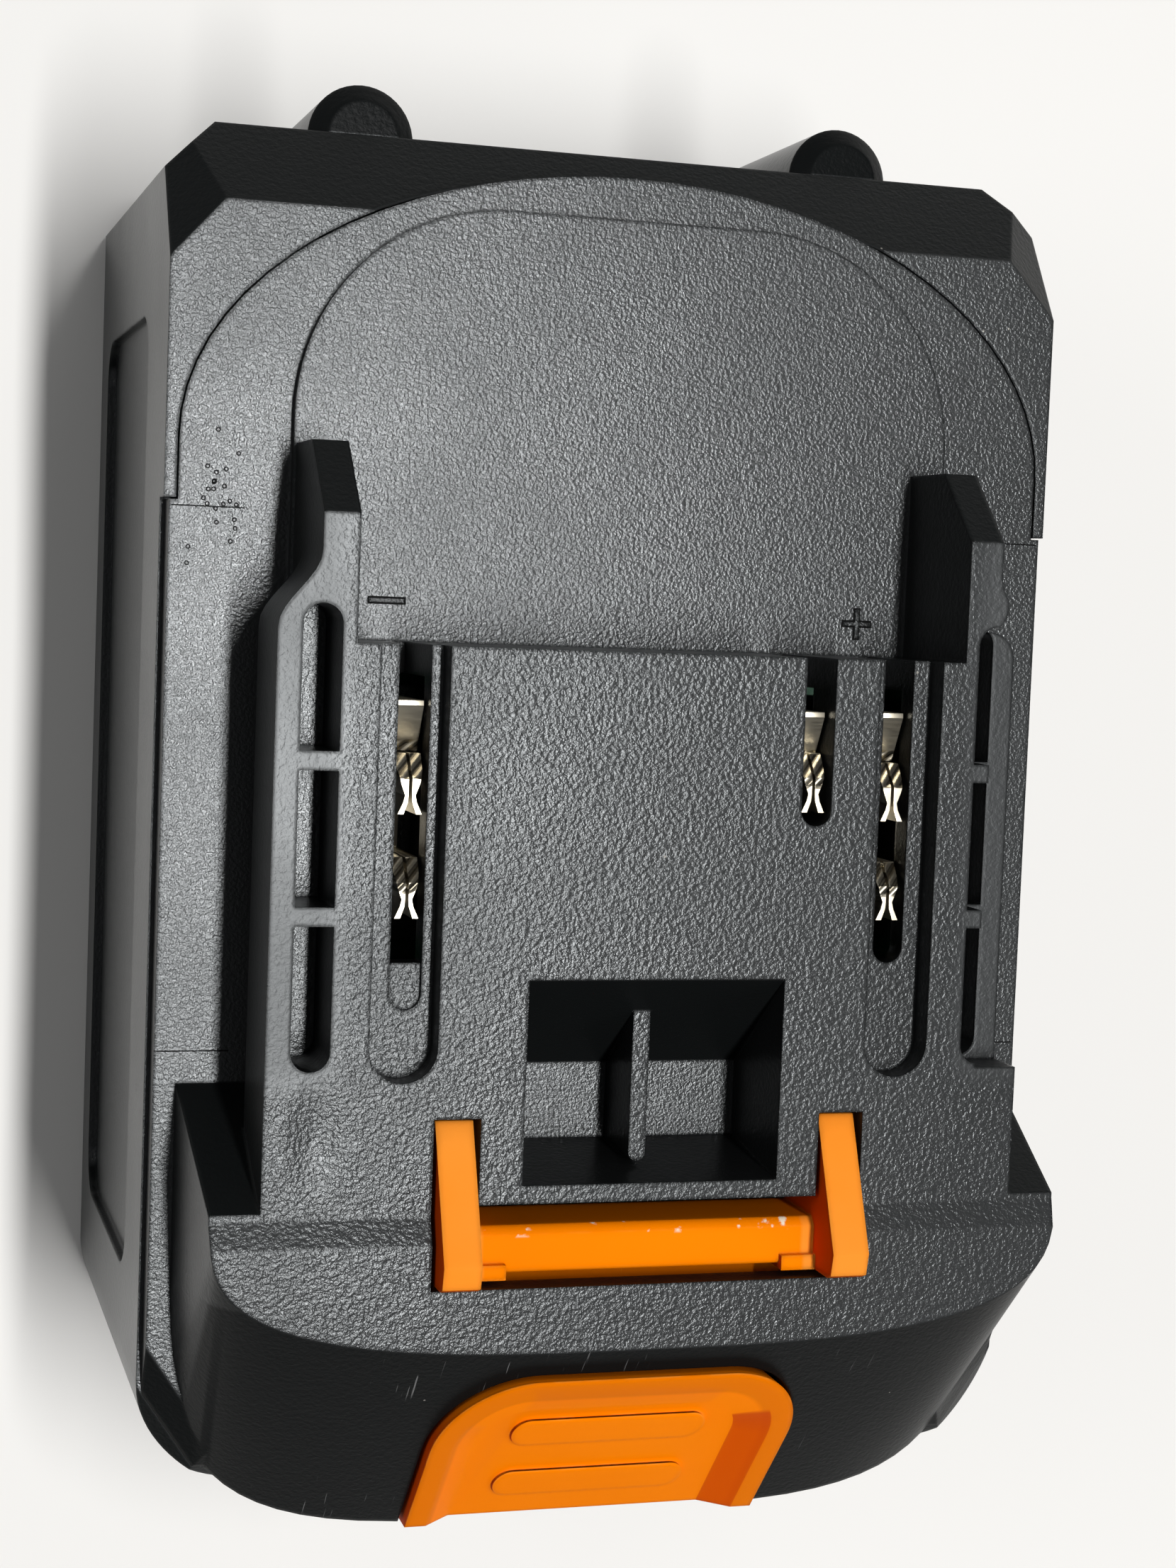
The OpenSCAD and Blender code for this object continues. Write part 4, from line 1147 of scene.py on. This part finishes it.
@dataclass
class LatchDress:
    """The orange release latch; plain distances are millimetres ahead of the terminal edge."""

    places: Places
    effects: Effects
    softener: EdgeSoftener = EdgeSoftener(width=0.4 * MM, segments=3)
    bar_rear: float = 44.7
    chafe_length: float = 0.9
    chafe_low: float = 2.0 * MM
    hook_inner_x: float = 13.0 * MM
    nose_rise: float = 0.906
    nose_top: float = 54.3
    button_top: float = 56.8
    rim_low: float = 0.3 * MM

    def dress_all(self, nodes: Nodes) -> None:
        """Softens and finishes the latch and its springs.

        Args:
            nodes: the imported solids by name.
        """
        dress(nodes["release_latch"], self._orange().build(self.effects))
        self.softener.apply(nodes["release_latch"])
        wire = MetalFinish("spring_wire", colour=(0.6, 0.6, 0.6), tarnish=(0.4, 0.39, 0.37))
        wound = wire.build(self.effects)
        for side in Side:
            dress(nodes[side.of("latch_spring")], wound)

    def _orange(self) -> GlossyFinish:
        """Finish of the latch: a chafed bar, hooks paler with wear and painted sheen, and painted
        shade on the rim round the button.

        Returns:
            The finish.
        """
        wear_and_sheen_low = self.places.rail_top - self.chafe_low
        edge = Zone(outer_x=self.hook_inner_x, low_z=wear_and_sheen_low, high_z=self.places.rail_top,
                    front_y=self.places.ahead(self.bar_rear + self.chafe_length))
        hooks = Zone(inner_x=self.hook_inner_x, low_z=wear_and_sheen_low)
        foot = self.places.deck_z - self.nose_rise * self.places.ahead(self.nose_top)
        rim = Incline(rise=self.nose_rise, origin_z=foot + self.rim_low,
                      rear_y=self.places.ahead(self.button_top))
        return GlossyFinish("orange_plastic", colour=(0.95, 0.225, 0.0),
                            deep_colour=(0.91, 0.205, 0.0), rub_colour=(0.98, 0.40, 0.06),
                            shade_colour=(0.62, 0.06, 0.0), roughness=0.4, specular=0.01,
                            edge_radius=0.9 * MM, chafe_zone=edge, wear_and_sheen_zone=hooks, rim=rim)


@dataclass
class TerminalDress:
    """Contacts, holder and board; plain distances are millimetres ahead of the terminal edge."""

    places: Places
    effects: Effects
    softener: EdgeSoftener = EdgeSoftener(width=0.06 * MM)
    twist_starts: tuple[float, ...] = (7.4, 16.2)
    twist_length: float = 2.9

    def dress_all(self, nodes: Nodes) -> None:
        """Finishes the contacts, the holder and the board.

        Args:
            nodes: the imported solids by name.
        """
        twists = tuple(Zone(front_y=self.places.ahead(start + self.twist_length),
                            rear_y=self.places.ahead(start)) for start in self.twist_starts)
        nickel = MetalFinish("contact_nickel", colour=(0.80, 0.74, 0.60),
                             tarnish=(0.58, 0.50, 0.36), roughness=0.36,
                             twists=twists).build(self.effects)
        for name in ("contact_negative", "contact_positive", "contact_sense"):
            dress(nodes[name], nickel)
            self.softener.apply(nodes[name])
        resist = GlossyFinish("solder_resist", colour=(0.012, 0.10, 0.045),
                              deep_colour=(0.008, 0.07, 0.03), rub_colour=(0.1, 0.3, 0.15),
                              roughness=0.3)
        for name, finish in (("terminal_holder", GrainedFinish("holder_plastic")),
                             ("circuit_board", resist),
                             ("board_components", GrainedFinish("chip_moulding"))):
            dress(nodes[name], finish.build(self.effects))


@dataclass
class CellDress:
    """Cells, frames, links, sheets, pad and screws inside the case."""

    effects: Effects
    cell_count: int = 10
    sleeves: tuple[GlossyFinish, ...] = (
        GlossyFinish("sleeve_blue", colour=(0.03, 0.13, 0.24), deep_colour=(0.02, 0.1, 0.2),
                     rub_colour=(0.2, 0.3, 0.4), roughness=0.28),
        GlossyFinish("sleeve_green", colour=(0.03, 0.19, 0.15), deep_colour=(0.02, 0.15, 0.12),
                     rub_colour=(0.2, 0.36, 0.3), roughness=0.28),
    )
    frame: GrainedFinish = GrainedFinish("frame_plastic")
    link: MetalFinish = MetalFinish("link_nickel", colour=(0.72, 0.70, 0.66),
                                    tarnish=(0.55, 0.52, 0.47), roughness=0.3)
    sheet: GlossyFinish = GlossyFinish("pressed_sheet", colour=(0.72, 0.62, 0.4),
                                       deep_colour=(0.66, 0.56, 0.35),
                                       rub_colour=(0.8, 0.74, 0.6), roughness=0.7)
    foam: GlossyFinish = GlossyFinish("pad_foam", colour=(0.05, 0.05, 0.052),
                                      deep_colour=(0.035, 0.035, 0.037),
                                      rub_colour=(0.12, 0.12, 0.12), roughness=0.85)
    steel: MetalFinish = MetalFinish("screw_steel", colour=(0.42, 0.42, 0.43),
                                     tarnish=(0.3, 0.3, 0.3), roughness=0.35)

    def dress_all(self, nodes: Nodes) -> None:
        """Finishes everything round the cells.

        Args:
            nodes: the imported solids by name.
        """
        sleeves = [finish.build(self.effects) for finish in self.sleeves]
        for index in range(self.cell_count):
            dress(nodes[f"cell_{index + 1}"], sleeves[index % len(sleeves)])
        for pair, finish in (("cell_frame", self.frame), ("nickel_strips", self.link),
                             ("insulator", self.sheet)):
            material = finish.build(self.effects)
            for side in Side:
                dress(nodes[side.of(pair)], material)
        dress(nodes["bottom_pad"], self.foam.build(self.effects))
        dress(nodes["case_screws"], self.steel.build(self.effects))


@dataclass
class PolarityMarks:
    """The raised signs beside the contacts, each ringed by a thin dark band of painted groove
    shade, in millimetres.
    """

    places: Places
    raised: bpy.types.Material
    # Painted shade for the groove round each sign.
    groove: bpy.types.Material
    minus_at: Point = (-19.8, 3.2)
    plus_at: Point = (20.3, 2.7)
    minus_half: float = 1.4
    plus_half: float = 1.18
    half_width: float = 0.15
    shade_ring_width: float = 0.16
    height: float = 0.12
    taper: float = 0.02
    shade_ring_height: float = 0.015

    def bar(self, centre: Point, grow: float) -> list[Point]:
        """Corners of the minus sign, in metres.

        Args:
            centre: its middle, as millimetres across and behind the terminal edge.
            grow: how much larger it is drawn all round, in millimetres.

        Returns:
            The corners, anticlockwise.
        """
        a, b = self.minus_half + grow, self.half_width + grow
        return self._placed(centre, [(-a, -b), (a, -b), (a, b), (-a, b)])

    def cross(self, centre: Point, grow: float) -> list[Point]:
        """Corners of the plus sign, in metres.

        Args:
            centre: its middle, as millimetres across and behind the terminal edge.
            grow: how much larger it is drawn all round, in millimetres.

        Returns:
            The corners, anticlockwise.
        """
        a, b = self.plus_half + grow, self.half_width + grow
        return self._placed(centre, [(b, -a), (b, -b), (a, -b), (a, b), (b, b), (b, a),
                                     (-b, a), (-b, b), (-a, b), (-a, -b), (-b, -b), (-b, -a)])

    def _placed(self, centre: Point, corners: list[Point]) -> list[Point]:
        """Moves corners in millimetres to their place, in metres."""
        return [((centre[0] + x) * MM, self.places.terminal_y + (centre[1] + y) * MM)
                for x, y in corners]

    def build(self) -> None:
        """Makes both signs and their grooves."""
        base = self.places.landing_z
        low = base - MARK_SINK
        signs = (("minus_sign", self.bar, self.minus_at), ("plus_sign", self.cross, self.plus_at))
        for name, shape, centre in signs:
            outline = shape(centre, 0.0)
            sign = MeshMaker(name)
            sign.prism(outline, low, base + self.height * MM, self.taper)
            sign.finish(self.raised)
            # Painted shade: a thin dark ring round each sign stands for the shade in its groove.
            edge = MeshMaker(f"{name}_groove")
            edge.ring(outline, shape(centre, self.shade_ring_width), low,
                      base + self.shade_ring_height * MM)
            edge.finish(self.groove)


@dataclass
class MouldMarks:
    """Fine lines across both shoulders, and tiny pits on the left one, in millimetres."""

    places: Places
    dark: bpy.types.Material
    inner_x: float = 31.2
    outer_x: float = 36.9
    lines_at: tuple[float, ...] = (-10.0, 33.0)
    line_width: float = 0.1
    line_height: float = 0.015
    pit_count: int = 22
    pit_seed: int = 11
    pit_inner_x: float = 31.6
    pit_spread_x: float = 4.0
    pit_ahead: float = -10.5
    pit_spread_y: float = 2.6
    pit_radius: float = 0.2
    pit_rim: float = 0.1
    pit_height: float = 0.03
    pit_corners: int = 10

    def build(self) -> None:
        """Makes the lines and the pits."""
        self._lines()
        self._pits()

    def _lines(self) -> None:
        """Makes one thin line at each place, on both sides."""
        base = self.places.shoulder_z
        half = self.line_width * MM / 2
        made = MeshMaker("witness_lines")
        for side in Side:
            left, right = sorted(side.value * x * MM for x in (self.inner_x, self.outer_x))
            for distance in self.lines_at:
                y = self.places.ahead(distance)
                made.prism([(left, y - half), (right, y - half), (right, y + half),
                            (left, y + half)], base - MARK_SINK, base + self.line_height * MM)
        made.finish(self.dark)

    def _circle(self, x: float, y: float, radius: float) -> list[Point]:
        """Corners of a round outline, in metres.

        Args:
            x: its middle along X.
            y: its middle along Y.
            radius: its radius, in millimetres.

        Returns:
            The corners, anticlockwise.
        """
        turns = [2 * math.pi * k / self.pit_corners for k in range(self.pit_corners)]
        return [(x + radius * MM * math.cos(turn), y + radius * MM * math.sin(turn))
                for turn in turns]

    def _pits(self) -> None:
        """Makes small rings on the left shoulder, thickest round one place along it."""
        base = self.places.shoulder_z
        draw = random.Random(self.pit_seed)
        made = MeshMaker("shoulder_pits")
        for _ in range(self.pit_count):
            x = -(self.pit_inner_x + self.pit_spread_x * draw.random()) * MM
            y = self.places.ahead(self.pit_ahead + draw.gauss(0.0, self.pit_spread_y))
            made.ring(self._circle(x, y, self.pit_radius - self.pit_rim),
                      self._circle(x, y, self.pit_radius),
                      base - MARK_SINK, base + self.pit_height * MM)
        made.finish(self.dark)


@dataclass(frozen=True)
class Lamp:
    """One soft elliptical lamp, in metres and watts."""

    name: str
    place: Place
    power: float
    target: Place = (0.0, 0.0, 0.04)
    width: float = 0.6
    length: float = 0.6

    def hang(self) -> None:
        """Adds the lamp and aims it at its target."""
        data = bpy.data.lights.new(self.name, "AREA")
        data.shape = "ELLIPSE"
        data.size = self.width
        data.size_y = self.length
        data.energy = self.power
        lamp = bpy.data.objects.new(self.name, data)
        lamp.location = self.place
        aim = Vector(self.target) - Vector(self.place)
        lamp.rotation_euler = aim.to_track_quat("-Z", "Y").to_euler()
        bpy.context.scene.collection.objects.link(lamp)


@dataclass
class Studio:
    """Table, lamps, surroundings and camera."""

    table_half: float = 6.0
    table_colour: Colour = (0.86, 0.845, 0.817)
    table_roughness: float = 0.6
    haze_scale: float = 9.0
    haze_shade: float = 0.96
    lamps: tuple[Lamp, ...] = (
        Lamp("overhead_lamp", place=(0.095, -0.015, 1.1), power=11.1, target=(0.095, 0.0, 0.04),
             width=0.07, length=0.73),
        Lamp("left_fill", place=(-0.85, 0.15, 0.55), power=1.4),
        Lamp("right_fill", place=(0.9, -0.45, 0.5), power=1.4),
        Lamp("rear_fill", place=(0.35, 0.95, 0.6), power=0.8),
    )
    world_colour: Colour = (0.90, 0.92, 0.95)
    world_strength: float = 0.12
    lens: float = 80.14
    sensor: float = 36.0
    clip_start: float = 0.01
    camera_at: Place = (-62.6 * MM, 17.88 * MM, 257.7 * MM)
    camera_right: Place = (0.959611, 0.038727, 0.278652)
    camera_down: Place = (0.017563, -0.996795, 0.078052)

    def build(self) -> None:
        """Sets everything up."""
        self._table()
        for lamp in self.lamps:
            lamp.hang()
        self._world()
        self._camera()
        bpy.context.scene.view_settings.view_transform = "Standard"

    def _table(self) -> None:
        """Lays a plain pale table top under the pack."""
        data = bpy.data.meshes.new("table_top")
        h = self.table_half
        data.from_pydata([(-h, -h, 0), (h, -h, 0), (h, h, 0), (-h, h, 0)], [], [(0, 1, 2, 3)])
        table = bpy.data.objects.new("table_top", data)
        bpy.context.scene.collection.objects.link(table)
        material, graph, shader = new_material("table_paint")
        shade = tuple(self.haze_shade * part for part in self.table_colour)
        paint = graph.blend(graph.noise(self.haze_scale), self.table_colour, shade)
        graph.fill(shader, Base_Color=paint, Roughness=self.table_roughness)
        dress(table, material)

    def _world(self) -> None:
        """Adds an even pale surround."""
        world = bpy.data.worlds.new("studio_surround")
        world.use_nodes = True
        graph = Graph(world.node_tree)
        surround = graph.fill(graph.node("ShaderNodeBackground"), Color=(*self.world_colour, 1.0),
                              Strength=self.world_strength)
        graph.fill(graph.node("ShaderNodeOutputWorld"), Surface=surround.outputs[0])
        bpy.context.scene.world = world

    def _camera(self) -> None:
        """Sets the camera at the photograph's viewpoint."""
        data = bpy.data.cameras.new("photo_camera")
        data.sensor_fit = "HORIZONTAL"
        data.sensor_width = self.sensor
        data.lens = self.lens
        data.clip_start = self.clip_start
        camera = bpy.data.objects.new("photo_camera", data)
        right = Vector(self.camera_right).normalized()
        up = -Vector(self.camera_down).normalized()
        back = right.cross(up).normalized()
        turned = Matrix((right, back.cross(right), back)).transposed().to_4x4()
        camera.matrix_world = Matrix.Translation(self.camera_at) @ turned
        bpy.context.scene.collection.objects.link(camera)
        bpy.context.scene.camera = camera


def main() -> None:
    """Builds and dresses the pack and its studio."""
    logging.basicConfig(level=logging.INFO)
    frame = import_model()
    nodes = frame["nodes"]
    effects = Effects()
    places = Places.from_frame(frame["record"])
    CaseShells(places, effects).dress_all(nodes)
    LatchDress(places, effects).dress_all(nodes)
    TerminalDress(places, effects).dress_all(nodes)
    CellDress(effects).dress_all(nodes)
    nowhere = Zone(low_z=1.0)
    raised = GrainedFinish("mark_plastic", coarse_zone=nowhere).build(effects)
    black = Tone((0.0077, 0.0077, 0.0077), 0.48)
    shade = GrainedFinish("groove_shade", fine=black, coarse=black, smooth=black,
                          grain_roughness=0.6).build(effects)
    PolarityMarks(places, raised, shade).build()
    MouldMarks(places, shade).build()
    Studio().build()


if __name__ == "__main__":
    main()
